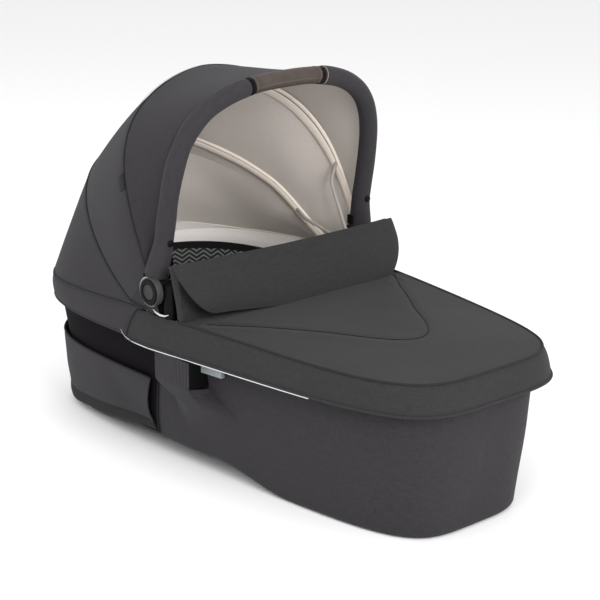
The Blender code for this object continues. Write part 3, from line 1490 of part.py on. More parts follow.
def make_wind_flap(mats):
    """The padded flap that hangs forward from the ridge and folds up as a windbreak."""
    start = RIDGE_R + FLAP_THICK / 2
    half = half_width_at(cover_outline(0.0), RIDGE_X)
    down = (math.cos(FLAP_SLOPE), -math.sin(FLAP_SLOPE))
    out = (math.sin(FLAP_SLOPE), math.cos(FLAP_SLOPE))
    rows = 9
    columns = 15
    grids = []
    for face in (1.0, -1.0):
        grid = []
        for row in range(rows):
            share = row / (rows - 1)
            distance = start + FLAP_LENGTH * share
            beyond = max(distance - (start + FLAP_LENGTH - FLAP_CORNER), 0.0)
            width = half - FLAP_CORNER + math.sqrt(max(FLAP_CORNER ** 2 - beyond ** 2, 0.0))
            pad = FLAP_THICK / 2 * (0.4 + 0.6 * math.sin(math.pi * min(share + 0.15, 0.92)))
            bulge = FLAP_BULGE * math.sin(math.pi * share)
            line = []
            for column in range(columns):
                y = width * (2.0 * column / (columns - 1) - 1.0)
                lift = bulge + face * pad
                x = RIDGE_X + down[0] * distance + out[0] * lift
                z = RIDGE_Z + down[1] * distance + out[1] * lift - ridge_sag(y)
                line.append((x, y, z))
            grid.append(line)
        grids.append(np.array(grid))
    mesh = sheet_mesh(grids[0], grids[1])
    add_object("wind_flap", mesh, mats["outer_fabric"], (RIDGE_X, 0.0, RIDGE_Z))


def build():
    clear_scene()
    mats = make_materials()
    make_tub_shell(mats)
    make_base_board(mats)
    make_liner(mats)
    make_mattress(mats)
    make_rim_frame(mats)
    make_mesh_panel(mats)
    make_vent_flap(mats)
    make_bow(mats)
    make_ribs(mats)
    make_hood(mats)
    make_hood_band(mats)
    make_tag(mats)
    make_apron_top(mats)
    make_skirt(mats)
    make_pipings(mats)
    make_apron_wall(mats)
    make_wind_flap(mats)
    for side in (LEFT, RIGHT):
        make_bracket(side, mats)
        make_pin(side, mats)
        make_housing(side, mats)
        make_button(side, mats)
        make_adapter(side, mats)
        make_fittings(side, mats)


build()
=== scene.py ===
import math

import bmesh
import bpy
import numpy as np
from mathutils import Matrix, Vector
from mathutils.bvhtree import BVHTree


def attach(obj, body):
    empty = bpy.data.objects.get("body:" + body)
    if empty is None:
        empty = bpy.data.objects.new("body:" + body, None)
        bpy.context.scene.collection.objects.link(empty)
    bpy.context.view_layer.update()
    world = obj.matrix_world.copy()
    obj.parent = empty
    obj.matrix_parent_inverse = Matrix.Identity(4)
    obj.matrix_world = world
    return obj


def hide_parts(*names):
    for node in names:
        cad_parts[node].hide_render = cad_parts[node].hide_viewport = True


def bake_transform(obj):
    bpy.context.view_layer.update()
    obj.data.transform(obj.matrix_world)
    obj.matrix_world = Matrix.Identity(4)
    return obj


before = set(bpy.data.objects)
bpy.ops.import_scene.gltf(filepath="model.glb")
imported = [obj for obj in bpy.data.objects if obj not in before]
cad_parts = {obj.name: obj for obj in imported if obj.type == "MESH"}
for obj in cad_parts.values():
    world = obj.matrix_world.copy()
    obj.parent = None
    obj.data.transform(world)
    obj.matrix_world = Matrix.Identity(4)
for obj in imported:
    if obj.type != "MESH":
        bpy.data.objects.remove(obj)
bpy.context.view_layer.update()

# Sizes of the carrycot, in metres

HUB_X, HUB_Z = -0.0509, 0.276
FOOT_POWERS, HEAD_POWERS = (6.55, 4.34), (4.4, 2.6)
CLOTH = 0.0016
COVER_HALF, COVER_FOOT, COVER_NARROW = 0.209, 0.4157, 0.0536
HOOD_HALF, HOOD_HEAD = 0.2105, -0.4279
RIM_Z, RIM_R, RIM_INSET = 0.225, 0.006, 0.0015
RIM_HALF, RIM_FOOT, RIM_HEAD = 0.2026, 0.4093, -0.4215
BASE_HALF, BASE_FOOT, BASE_HEAD, BASE_NARROW = 0.158, 0.3901, -0.4129, 0.030
EDGE_ROUND, WALL_TOP = 0.010, 0.2187
ARCH, ARCH_FADE, ARCH_FOOT, ARCH_HEAD = 0.025, 0.12, 0.1571, -0.3829
WALL_CUT_TOP, WALL_CUT_LOW = -0.0689, -0.1009
NET_LOW, NET_TOP, VENT_LOW, VENT_TOP = 0.034, 0.1935, 0.020, 0.131
BULGE_X = -0.2829
APRON_X, PIPING_Z, PIPING_RISE, PIPING_RISE_X, PIPING_R = 0.0051, 0.2342, 0.006, 0.3571, 0.0018
APRON_MIDDLE, APRON_FLAT, APRON_AREA = 0.2071, (0.42, 0.42), 0.152
SKIRT_LOW, SKIRT_END, SKIRT_FLARE, SKIRT_FOOT_FLARE = 0.193, -0.1079, 0.0085, 0.011
SILVER_END, SILVER_COUNT = 0.2521, 110
BAND_FRONT, BAND_CORNER, BAND_CORNER_LOW = -0.0769, -0.0869, 0.2425
RIDGE_X, RIDGE_Z, RIDGE_R, RIDGE_SAG, RIDGE_TILT, RIDGE_BACK = -0.0044, 0.321, 0.003, 0.004, 0.0025, 0.35
FLAP_LENGTH, FLAP_SLOPE, FLAP_CORNER, FLAP_BULGE = 0.078, math.radians(60.0), 0.078, 0.006
FLAP_SIDE, FLAP_START, FLAP_EDGE = 0.047, -0.0012, 0.012
BOW_LEAN, BOW_REACH, BOW_HALF = math.radians(11.1), 0.2810, 0.1905
BOW_POWERS, BOW_BACK, BOW_RISE, BOW_FOOT = (5.36, 2.6), 0.0098, 0.0092, 0.0112
SLEEVE_R, SLEEVE_FLARE, SLEEVE_SHIFT = 0.0138, 0.0044, 0.0080
GRIP_R, GRIP_HALF, GRIP_RING, GRIP_GAP_R = 0.0125, 0.062, 0.0063, 0.0118
FRONT_LEAN, FRONT_REACH, FRONT_POWERS = math.radians(-26.2), 0.311, (4.16, 1.7)
REAR_LEAN, REAR_REACH, REAR_POWERS = math.radians(-60.4), 0.340, (2.02, 2.02)
REAR_BACK, REAR_DROP = 0.036, 0.038
BAND_LEAN, BAND_DROP = math.radians(-93.3), 0.029
COVER_BACK, COVER_START, LINING_START, TAPE_HALF, RIB_R = 0.0128, 0.024, 0.036, 0.0108, 0.0025
ADAPTER_FACE, ADAPTER_LOW, ADAPTER_FRONT = 0.2158, 0.150, 0.0351
PILLAR_REAR, PILLAR_COVER, PILLAR_LOW, PILLAR_TOP = -0.0395, -0.0515, 0.045, 0.1905
STITCH_LIFT = 0.0003
LINER_LOW, LINER_TOP = 0.0325, 0.2245
MATTRESS_LOW, MATTRESS_TOP, MATTRESS_GAP, MATTRESS_MIDDLE = 0.0345, 0.066, -0.0180, (-0.0109, 0.0)
HUB = np.array([HUB_X, 0.0, HUB_Z])
SIDES = ((-1, "left"), (1, "right"))
ENDS = ((0, "left"), (-1, "right"))

# Places inside the shapes, which tell a cloth's outer face from its inner one

TUB_CENTRE, HEAD_CENTRE, SKIRT_CENTRE = (0.0, 0.0, 0.12), (-0.2, 0.0, 0.1), (0.1, 0.0, 0.2)
APRON_CENTRE, WALL_FRONT, FLAP_CENTRE = (APRON_MIDDLE, 0.0, 0.0), (-0.4, 0.0, 0.28), (-0.3, 0.0, 0.0)
HOOD_CENTRE, BAND_CENTRE, CORNER_CENTRE = np.array([-0.12, 0.0, 0.22]), (-0.2, 0.0, 0.22), (-0.07, 0.0, 0.27)

# Shares, paths and waves


def smooth(share):
    share = np.clip(share, 0.0, 1.0)
    return share * share * (3.0 - 2.0 * share)


def unit(vectors):
    return vectors / np.maximum(np.linalg.norm(vectors, axis=-1, keepdims=True), 1e-9)


def through(*stretches):
    """Values along stretches that share their ends, each given as start, end and count."""
    return np.unique(np.concatenate([np.linspace(*stretch) for stretch in stretches]))


def run_length(path):
    """Distance along a path at each of its points."""
    return np.concatenate([[0.0], np.cumsum(np.linalg.norm(np.diff(path, axis=0), axis=1))])


def values_at(values, along, places):
    """Values at some places along a run, from those at its points."""
    return np.stack([np.interp(places, along, column) for column in np.asarray(values, float).T], -1)


def cut(path, start, end, count):
    return values_at(path, run_length(path), np.linspace(start, end, count))


def resample(path, count):
    path = np.asarray(path, float)
    return cut(path, 0.0, run_length(path)[-1], count)


def relax(path, passes):
    """Rounds a path's corners; its ends stay."""
    for _ in range(passes):
        path[1:-1] = (path[:-2] + path[1:-1] * 2.0 + path[2:]) / 4.0
    return path


def ruffle(points, size, seed):
    """A soft random swell over the points, between about -1 and 1, the same on every run."""
    spread = np.random.default_rng(seed)
    total = np.zeros(points.shape[:-1])
    for _ in range(7):
        direction = unit(spread.normal(size=3))
        pitch = size * spread.uniform(0.7, 1.6)
        total += np.sin(points @ direction * (2.0 * math.pi / pitch) + spread.uniform(0.0, 6.28))
    return total / 3.2


def full_turn(count):
    return np.linspace(0.0, 2.0 * math.pi, count + 1)[:-1]


# Meshes


def outward(grid, centre, closed=False):
    """Unit normals of a grid that point away from a centre. Closed grids run round in a ring."""
    wide = np.concatenate([grid[:, -1:], grid, grid[:, :1]], axis=1) if closed else grid
    normal = unit(np.cross(np.gradient(wide, axis=1), np.gradient(wide, axis=0)))
    if np.sum((wide - np.asarray(centre)) * normal) < 0.0:
        normal = -normal
    return normal[:, 1:-1] if closed else normal


def finish_mesh(name, points, faces, materials, picks=None, lengths=None, crease=40.0):
    """A smooth piece from points and faces, with the material of each face and cloth coordinates."""
    mesh = bpy.data.meshes.new(name)
    mesh.from_pydata([tuple(point) for point in points], [], faces)
    for material in materials:
        mesh.materials.append(material)
    if picks is not None:
        mesh.polygons.foreach_set("material_index", np.array(picks, dtype=np.int32))
    if lengths is not None:
        layer = mesh.uv_layers.new(name="cloth")
        loops = np.zeros(len(mesh.loops), dtype=np.int32)
        mesh.loops.foreach_get("vertex_index", loops)
        layer.data.foreach_set("uv", np.asarray(lengths, dtype=np.float32)[loops].ravel())
    mesh.validate()
    shape = bmesh.new()
    shape.from_mesh(mesh)
    bmesh.ops.recalc_face_normals(shape, faces=shape.faces)
    shape.to_mesh(mesh)
    shape.free()
    mesh.shade_smooth()
    mesh.set_sharp_from_angle(angle=math.radians(crease))
    piece = bpy.data.objects.new(name, mesh)
    bpy.context.scene.collection.objects.link(piece)
    return piece


def quads(rows, columns, closed_rows, closed_columns):
    """Faces between the neighbours in a grid of points."""
    faces = []
    for row in range(rows if closed_rows else rows - 1):
        here, above = row * columns, (row + 1) % rows * columns
        for column in range(columns if closed_columns else columns - 1):
            after = (column + 1) % columns
            faces.append((here + column, here + after, above + after, above + column))
    return faces


def skin(rings, closed=False):
    """Points and faces of a body whose sections are rings. An open one is capped at both ends."""
    rows, sides = len(rings), len(rings[0])
    faces = quads(rows, sides, closed, True)
    if not closed:
        faces += [tuple(reversed(range(sides))), tuple(range((rows - 1) * sides, rows * sides))]
    return np.concatenate(rings), faces


def cloth_lengths(grid):
    """Cloth coordinates in metres: round the grid, and up it."""
    step = np.linalg.norm(np.diff(grid, axis=1), axis=2).mean(axis=0)
    rise = np.linalg.norm(np.diff(grid, axis=0), axis=2).mean(axis=1)
    sums = [np.concatenate([[0.0], np.cumsum(parts)]) for parts in (step, rise)]
    return np.stack(np.meshgrid(*sums), axis=-1).reshape(-1, 2)


def cloth(name, grid, thickness, materials, centre, closed=False, row_picks=None, crease=40.0):
    """A thin cloth whose outer face is the grid, which runs round in a ring if closed.

    row_picks gives the index of each row's material.
    """
    grid = np.asarray(grid, float)
    rows, columns = grid.shape[:2]
    back = grid - outward(grid, centre, closed) * np.broadcast_to(thickness, (rows, columns))[..., None]
    offset = rows * columns
    faces = []
    for quad in quads(rows, columns, False, closed):
        faces += [quad, tuple(index + offset for index in reversed(quad))]
    spots = np.arange(offset).reshape(rows, columns)
    if closed:
        edges = [spots[0], spots[-1]]
    else:
        edges = [np.concatenate([spots[0], spots[1:, -1], spots[-1, -2::-1], spots[-2:0:-1, 0]])]
    for edge in (run.tolist() for run in edges):
        for here, after in zip(edge, edge[1:] + edge[:1]):
            faces.append((after, here, here + offset, after + offset))
    picks = None
    if row_picks is not None:
        picks = [row_picks[min(face) % offset // columns] for face in faces]
    points = np.concatenate([grid.reshape(-1, 3), back.reshape(-1, 3)])
    return finish_mesh(name, points, faces, materials, picks, np.tile(cloth_lengths(grid), (2, 1)), crease)


def path_frames(path, closed=False, flat=None):
    """Two unit vectors across a path at each point. The first lies along flat, if that is given."""
    if closed:
        tangents = unit(np.roll(path, -1, axis=0) - np.roll(path, 1, axis=0))
    else:
        tangents = unit(np.gradient(path, axis=0))
    if flat is not None:
        first = unit(flat - tangents * np.sum(flat * tangents, axis=1, keepdims=True))
    else:
        start = np.cross(tangents[0], (0.0, 0.0, 1.0))
        if np.linalg.norm(start) < 0.1:
            start = np.cross(tangents[0], (0.0, 1.0, 0.0))
        carried = [start]
        for tangent in tangents[1:]:
            carried.append(unit(carried[-1] - tangent * np.dot(carried[-1], tangent)))
        first = unit(np.array(carried))
    return first, np.cross(tangents, first)


def around(first, second, turns):
    """Unit vectors round a path's point, from the two that lie across it."""
    return np.outer(np.cos(turns), first) + np.outer(np.sin(turns), second)


def tube(name, path, radius, material, sides=12, closed=False, flat=None):
    """A round cord, sleeve or wire along a path."""
    path = np.asarray(path, float)
    radii = np.broadcast_to(radius, (len(path),))
    turns = full_turn(sides)
    rings = [
        point + around(first, second, turns) * reach
        for point, first, second, reach in zip(path, *path_frames(path, closed, flat), radii)
    ]
    lengths = np.stack(np.broadcast_arrays(run_length(path)[:, None], np.outer(radii, turns)), -1)
    return finish_mesh(name, *skin(rings, closed), [material], None, lengths.reshape(-1, 2), 50.0)


def stitches(name, path, normals, material, pitch=0.0042, length=0.0027, radius=0.00035):
    """A row of thread stitches along a seam, as one piece."""
    path = np.asarray(path, float)
    along = run_length(path)
    points = []
    faces = []
    for place in np.arange(pitch / 2, along[-1] - pitch / 2, pitch):
        ends = place + length / 2 * np.array([-1.0, 0.0, 1.0])
        middles, ups = values_at(path, along, ends), unit(values_at(normals, along, ends))
        sides = np.cross(ups, unit(middles[2] - middles[0]))
        rings = [
            middle + up * rise + around(side, up, full_turn(4)) * radius
            for middle, up, side, rise in zip(middles, ups, sides, (-radius, STITCH_LIFT, -radius))
        ]
        ring_points, ring_faces = skin(rings)
        faces += [tuple(index + len(points) for index in face) for face in ring_faces]
        points += list(ring_points)
    return finish_mesh(name, points, faces, [material], None, None, 80.0)


# Outlines seen from above


def quadrant(powers, count=240):
    """Reach and width shares from the widest place to the tip, spaced as on a long outline."""
    turn = np.linspace(0.0, math.pi / 2, 4001)
    size = np.array([0.4, 0.2])
    shares = np.stack([np.sin(turn) ** (2.0 / powers[0]), np.cos(turn) ** (2.0 / powers[1])], -1)
    return (resample(shares * size, count) / size).T


FOOT_REACH, FOOT_WIDTH = quadrant(FOOT_POWERS)
HEAD_REACH, HEAD_WIDTH = quadrant(HEAD_POWERS)


def egg(half, foot, head, narrow):
    """Outline from the foot's tip along the right side to the head and back along the left."""
    ahead_x = HUB_X + (foot - HUB_X) * FOOT_REACH
    ahead_y = (half - narrow * FOOT_REACH) * FOOT_WIDTH
    behind_x = HUB_X + (head - HUB_X) * HEAD_REACH
    x = np.concatenate([ahead_x[::-1], behind_x[1:]])
    y = np.concatenate([ahead_y[::-1], half * HEAD_WIDTH[1:]])
    return np.concatenate([np.stack([x, y], -1), np.stack([x, -y], -1)[-2:0:-1]])


def cover_plan(offset=0.0):
    return egg(COVER_HALF + offset, COVER_FOOT + offset, HOOD_HEAD - offset, COVER_NARROW)


def rim_plan(offset=0.0):
    inset = offset - RIM_INSET
    return egg(RIM_HALF + inset, RIM_FOOT + inset, RIM_HEAD - inset, COVER_NARROW)


def tub_plan(z, offset=0.0):
    share = z / RIM_Z
    return egg(
        BASE_HALF + (RIM_HALF - BASE_HALF) * share + offset,
        BASE_FOOT + (RIM_FOOT - BASE_FOOT) * share + offset,
        BASE_HEAD + (RIM_HEAD - BASE_HEAD) * share - offset,
        BASE_NARROW + (COVER_NARROW - BASE_NARROW) * share,
    )


def skirt_plan(share, out):
    flare, foot_flare = SKIRT_FLARE * share + out, SKIRT_FOOT_FLARE * share + out
    return egg(COVER_HALF + flare, COVER_FOOT + foot_flare, HOOD_HEAD - flare, COVER_NARROW)


def arch_rise(x):
    return ARCH * smooth((ARCH_FOOT - x) / 0.14) * smooth((x - ARCH_HEAD) / 0.27)


def ring_of(plan, count):
    """Evenly spaced points round a closed outline."""
    return resample(np.concatenate([plan, plan[:1]]), count + 1)[:-1]


def half_at(plan, x):
    right = plan[plan[:, 1] >= 0.0]
    right = right[np.argsort(right[:, 0])]
    return float(np.interp(x, right[:, 0], right[:, 1]))


def head_part(plan, end_x, count):
    """The outline behind end_x, from the right side round the head to the left."""
    y = half_at(plan, end_x)
    middle = plan[plan[:, 0] < end_x - 1e-5]
    return resample(np.concatenate([[(end_x, y)], middle, [(end_x, -y)]]), count)


def foot_part(plan, end_x, count):
    """The outline ahead of end_x, from the left side round the foot to the right."""
    y = half_at(plan, end_x)
    turned = np.roll(plan, len(plan) // 2, axis=0)
    middle = turned[turned[:, 0] > end_x + 1e-5]
    return resample(np.concatenate([[(end_x, -y)], middle, [(end_x, y)]]), count)


def with_z(plan, z):
    return np.concatenate([plan, np.broadcast_to(z, (len(plan),))[:, None]], axis=1)


def piping_z(x):
    return PIPING_Z + PIPING_RISE * smooth((PIPING_RISE_X - x) / (PIPING_RISE_X - APRON_X))


def ridge_sag(y):
    return RIDGE_SAG * (1.0 - (np.abs(y) / COVER_HALF) ** 2) + RIDGE_TILT * (1.0 + y / COVER_HALF)


def seam_x(z):
    """Where the side wall's cloth ends and the ventilated head end begins."""
    return WALL_CUT_LOW + (WALL_CUT_TOP - WALL_CUT_LOW) * smooth((z - 0.035) / 0.135)


def wall_point(x, z, side, offset):
    """A point on the tub's wall beside a place along it."""
    return np.array([x, side * half_at(tub_plan(z, offset), x), z])


# Materials


class Bench:
    """Adds nodes to a tree and wires them in one call."""

    def __init__(self, tree):
        self.tree = tree

    def wire(self, source, socket):
        if isinstance(source, bpy.types.NodeSocket):
            self.tree.links.new(source, socket)
        else:
            socket.default_value = source

    def add(self, kind, settings=None, **inputs):
        node = self.tree.nodes.new("ShaderNode" + kind)
        for key, value in (settings or {}).items():
            setattr(node, key, value)
        for key, value in inputs.items():
            self.wire(value, node.inputs[key.replace("_", " ")])
        return node

    def group(self, group, **inputs):
        return self.add("Group", {"node_tree": group}, **inputs).outputs

    def math(self, operation, first, second=0.0):
        node = self.add("Math", {"operation": operation})
        self.wire(first, node.inputs[0])
        self.wire(second, node.inputs[1])
        return node.outputs[0]

    def times(self, first, second):
        return self.math("MULTIPLY", first, second)

    def plus(self, first, second):
        return self.math("ADD", first, second)

    def swing(self, value, amount):
        """A value about a half, turned into one about zero."""
        return self.times(self.math("SUBTRACT", value, 0.5), amount)

    def mix(self, share, first, second, mode="MIX"):
        node = self.add("Mix", {"data_type": "RGBA", "blend_type": mode})
        for index, value in ((0, share), (6, first), (7, second)):
            self.wire(value, node.inputs[index])
        return node.outputs[2]

    def noise(self, scale, detail):
        """Cloudy noise in the piece's own space."""
        return self.add("TexNoise", Vector=self.own_place(), Scale=scale, Detail=detail).outputs[0]

    def cells(self, place, scale, **inputs):
        return self.add("TexVoronoi", Vector=place, Scale=scale, **inputs).outputs["Distance"]

    def own_place(self):
        return self.add("TexCoord").outputs["Object"]

    def cloth_place(self):
        """The place on the cloth in metres."""
        return self.add("UVMap", {"uv_map": "cloth"}).outputs[0]


def new_group(name, inputs):
    """An empty node group. An input socket's kind follows from its value."""
    group = bpy.data.node_groups.new(name, "ShaderNodeTree")
    kinds = {1: "NodeSocketFloat", 3: "NodeSocketVector", 4: "NodeSocketColor"}
    for label, value in inputs.items():
        socket = group.interface.new_socket(name=label, in_out="INPUT", socket_type=kinds[np.size(value)])
        socket.default_value = value
    return group, Bench(group), group.nodes.new("NodeGroupInput").outputs


def close_group(group, **outputs):
    """Gives a node group its outputs, each wired to its source."""
    for label in outputs:
        kind = "NodeSocketColor" if label == "Colour" else "NodeSocketFloat"
        group.interface.new_socket(name=label, in_out="OUTPUT", socket_type=kind)
    target = group.nodes.new("NodeGroupOutput")
    for label, source in outputs.items():
        group.links.new(source, target.inputs[label])
    return group


def woven_group():
    """Plain weave of two yarn tones with slubs, in metres of cloth."""
    group, bench, source = new_group("Woven yarn", {
        "Cloth place": (0.0, 0.0, 0.0),
        "Dark yarn": (0.05, 0.05, 0.05, 1.0),
        "Light yarn": (0.1, 0.1, 0.1, 1.0),
        "Yarns per metre": 900.0,
        "Heather": 0.6,
    })
    split = bench.add("SeparateXYZ", Vector=source["Cloth place"])
    warp, weft = [bench.times(split.outputs[axis], source["Yarns per metre"]) for axis in (0, 1)]
    strands = []
    for first, second, shift in ((warp, weft, 0.0), (weft, warp, 7.3)):
        place = bench.add("CombineXYZ", X=bench.times(first, 0.7), Y=bench.times(second, 0.09), Z=shift)
        noise = bench.add("TexNoise", Vector=place.outputs[0], Scale=1.0, Detail=2.0)
        strands.append(noise.outputs[0])
    over = bench.times(*[bench.math("SINE", bench.times(yarn, math.pi)) for yarn in (warp, weft)])
    pick = bench.add("Mix", Factor=bench.math("GREATER_THAN", over, 0.0))
    bench.wire(strands[0], pick.inputs[2])
    bench.wire(strands[1], pick.inputs[3])
    both = bench.times(bench.plus(*strands), 0.5)
    tone = bench.plus(bench.times(pick.outputs[0], 0.6), bench.times(both, 0.4))
    share = bench.plus(bench.times(bench.swing(tone, 5.0), source["Heather"]), 0.5)
    share = bench.add("Clamp", Value=share).outputs[0]
    colour = bench.mix(share, source["Dark yarn"], source["Light yarn"])
    return close_group(group, Colour=colour, Height=bench.math("ABSOLUTE", over))


def grain_group():
    """Fine moulded or pressed grain over a surface."""
    group, bench, source = new_group(
        "Surface grain", {"Grains per metre": 900.0, "Roughness": 0.5, "Spread": 0.15}
    )
    fine = bench.cells(bench.own_place(), source["Grains per metre"])
    rough = bench.plus(bench.swing(bench.noise(22.0, 3.0), source["Spread"]), source["Roughness"])
    return close_group(group, Height=fine, Roughness=rough)


def fade_group():
    """Soft large-scale unevenness of a dyed cloth or a moulded colour."""
    group, bench, source = new_group("Soft fade", {"Colour": (0.1, 0.1, 0.1, 1.0), "Unevenness": 0.1})
    level = bench.plus(bench.times(bench.swing(bench.noise(9.0, 4.0), source["Unevenness"]), 2.0), 1.0)
    tone = bench.add("CombineColor", Red=level, Green=level, Blue=level).outputs[0]
    return close_group(group, Colour=bench.mix(1.0, source["Colour"], tone, "MULTIPLY"))


WOVEN, GRAIN, FADE = woven_group(), grain_group(), fade_group()


def screen(*values):
    """A linear colour from screen values."""
    return (*[(value / 255.0) ** 2.2 for value in values], 1.0)


def new_material(name):
    material = bpy.data.materials.new(name)
    material.use_nodes = True
    material.node_tree.nodes.clear()
    return material, Bench(material.node_tree)


def surfaced(material, bench, colour, height, depth, strength, **values):
    """Ends a material with its surface, bumped by a height."""
    relief = bench.add("Bump", Height=height, Distance=depth, Strength=strength)
    surface = bench.add("BsdfPrincipled", Base_Color=colour, Normal=relief.outputs[0], **values)
    bench.add("OutputMaterial", Surface=surface.outputs[0])
    return material


def yarn(bench, place, dark, light, yarns, heather):
    return bench.group(
        WOVEN, Cloth_place=place, Dark_yarn=screen(*dark), Light_yarn=screen(*light),
        Yarns_per_metre=yarns, Heather=heather,
    )


def woven(name, dark, light, yarns=900.0, heather=0.4, rough=0.92, uneven=0.06, sheen=0.04):
    material, bench = new_material(name)
    weave = yarn(bench, bench.cloth_place(), dark, light, yarns, heather)
    dyed = bench.group(FADE, Colour=weave["Colour"], Unevenness=uneven)
    return surfaced(
        material, bench, dyed["Colour"], weave["Height"], 0.0003, 0.6,
        Roughness=rough, Specular_IOR_Level=0.25, Sheen_Weight=sheen, Sheen_Roughness=0.45,
    )


def moulded(name, colour, rough=0.5, metal=0.0, grains=1400.0, depth=0.00015, gloss=0.5):
    material, bench = new_material(name)
    grain = bench.group(GRAIN, Grains_per_metre=grains, Roughness=rough, Spread=0.18)
    shade = bench.group(FADE, Colour=screen(*colour), Unevenness=0.05)
    return surfaced(
        material, bench, shade["Colour"], grain["Height"], depth, 0.35,
        Roughness=grain["Roughness"], Metallic=metal, Specular_IOR_Level=gloss,
    )


def mesh_cloth():
    """Open knitted mesh: a dark net whose small holes are painted near-black, as painted shade seen through
    them.
    """
    material, bench = new_material("airy_mesh")
    scaled = bench.add("Mapping", Vector=bench.cloth_place(), Scale=(520.0, 520.0, 520.0))
    cells = bench.cells(scaled.outputs[0], 1.0, Randomness=0.15)
    # The holes are painted near-black: painted shade seen through the net.
    colour = bench.mix(bench.math("LESS_THAN", cells, 0.34), screen(24, 20, 24), screen(6, 5, 6))
    return surfaced(material, bench, colour, cells, 0.0004, 0.5, Roughness=0.95, Specular_IOR_Level=0.1)


def patterned_cloth():
    """Herringbone of dark and pale grey for the liner and the mattress."""
    material, bench = new_material("patterned_inner_cloth")
    column_width, stripe_height, slant, dark_share, yarns = 0.012, 0.0075, 1.1, 0.58, 1100.0
    place = bench.cloth_place()
    split = bench.add("SeparateXYZ", Vector=place)
    fold = bench.math("PINGPONG", bench.times(split.outputs[0], 1.0 / column_width), 1.0)
    stripe = bench.plus(bench.times(split.outputs[1], 1.0 / stripe_height), bench.times(fold, slant))
    band = bench.math("GREATER_THAN", bench.math("FRACT", stripe), dark_share)
    weave = yarn(bench, place, (26, 27, 27), (38, 39, 39), yarns, 0.4)
    pale = yarn(bench, place, (104, 109, 107), (136, 141, 139), yarns, 0.4)
    colour = bench.mix(band, weave["Colour"], pale["Colour"])
    return surfaced(material, bench, colour, weave["Height"], 0.0004, 0.5, Roughness=0.85, Sheen_Weight=0.15)


def leather():
    """Grained brown leather-look wrap of the grip."""
    material, bench = new_material("brown_leatherette")
    creases = bench.add(
        "TexVoronoi", {"feature": "DISTANCE_TO_EDGE"}, Vector=bench.own_place(), Scale=620.0
    )
    crease_relief_and_shade = bench.add("MapRange", Value=creases.outputs["Distance"], From_Max=0.12).outputs[0]
    colour = bench.mix(bench.noise(60.0, 4.0), screen(54, 45, 41), screen(78, 68, 61))
    # The grain's creases are painted darker: painted shade in the creases, on top of their bump.
    colour = bench.mix(crease_relief_and_shade, screen(42, 36, 32), colour)
    return surfaced(material, bench, colour, crease_relief_and_shade, 0.0003, 0.6, Roughness=0.55, Specular_IOR_Level=0.4)


def bright_cord():
    """Silver retro-reflective piping."""
    material, bench = new_material("silver_piping")
    beads = bench.cells(bench.own_place(), 1500.0)
    colour = bench.mix(beads, screen(214, 214, 216), screen(168, 169, 172))
    return surfaced(material, bench, colour, beads, 0.0002, 0.4, Roughness=0.35, Metallic=0.25)


HEATHER = woven("charcoal_heather", (39, 37, 40), (52, 50, 53))
# A lighter copy of the same charcoal heather for the bow's sleeves: painted light, matching the bow's brighter
# look.
LIT_BOW_HEATHER = woven("charcoal_heather_bow_lit", (42, 40, 43), (55, 53, 56))
# A darker copy of the same charcoal heather for the apron, skirt, upright wall and wind flap: painted shade
# that tones down the light on the apron's top.
SHADED_APRON_HEATHER = woven("charcoal_heather_apron_shaded", (38, 37, 38), (50, 49, 50))
DARK_TAPE = woven("dark_binding_tape", (20, 20, 21), (32, 31, 33), 1300.0, 0.4, 0.85, 0.04, 0.02)
SEAM = woven("dark_seam", (26, 26, 27), (36, 36, 38), 1300.0, 0.3, 0.9, 0.02, 0.02)
PIPING = woven("charcoal_piping", (31, 31, 32), (43, 43, 45), 1300.0, 0.3, 0.9, 0.02, 0.02)
LINING = woven("greige_lining", (203, 194, 187), (218, 210, 203), 1600.0, 0.3, 0.85, 0.05, 0.1)
# A darker copy of the greige lining for the rib sleeves: painted shade, so the brightly lit sleeves sit back
# into the lining.
SHADED_SLEEVE_LINING = woven("greige_sleeve_shaded", (158, 151, 144), (172, 165, 158), 1600.0, 0.3, 0.85, 0.05, 0.1)
PALE_LINING = woven("cream_lining", (234, 229, 224), (247, 243, 239), 1600.0, 0.3, 0.85, 0.04, 0.1)
CREAM_TAPE = woven("cream_rib_tape", (236, 222, 209), (250, 240, 229), 1600.0, 0.3, 0.8, 0.03, 0.05)
MESH, PATTERN, LEATHER, SILVER = mesh_cloth(), patterned_cloth(), leather(), bright_cord()
THREAD = moulded("dark_thread", (36, 36, 38), 0.8)
GREIGE_THREAD = moulded("greige_thread", (140, 126, 114), 0.8)
# Darker greige for the cord in the rib tape's groove: partly the groove's stitched line, partly painted shade
# of the groove.
GROOVE_SHADE = moulded("tape_groove_shade", (128, 116, 106), 0.9, gloss=0.2)
BROWN_THREAD = moulded("brown_thread", (112, 98, 88), 0.8)
BLACK = moulded("black_nylon", (9, 9, 10), 0.6, gloss=0.12)
HUB_GREY = moulded("grey_hub_plastic", (52, 52, 53), 0.55, gloss=0.35)
BUTTON_GREY = moulded("dark_button_plastic", (40, 40, 42), 0.5, gloss=0.3)
# Pale grey for a thin crescent along each hub housing's rim: a painted highlight.
HUB_HIGHLIGHT = moulded("painted_hub_highlight", (122, 122, 122), 0.45)
LEVER_GREY = moulded("blue_grey_lever", (134, 140, 144), 0.45)
BOARD = moulded("dark_base_board", (60, 60, 62), 0.6)
ALUMINIUM = moulded("satin_aluminium", (226, 228, 232), 0.32, 0.9, 2600.0, 0.00005)
STEEL = moulded("drawn_steel", (190, 192, 195), 0.3, 1.0, 2600.0, 0.00004)


# What each piece rides on and replaces


def labelled(piece, nodes):
    if nodes:
        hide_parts(*nodes)
    return piece


def on_body(piece, body, slot, *nodes):
    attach(piece, body)
    return labelled(piece, nodes)


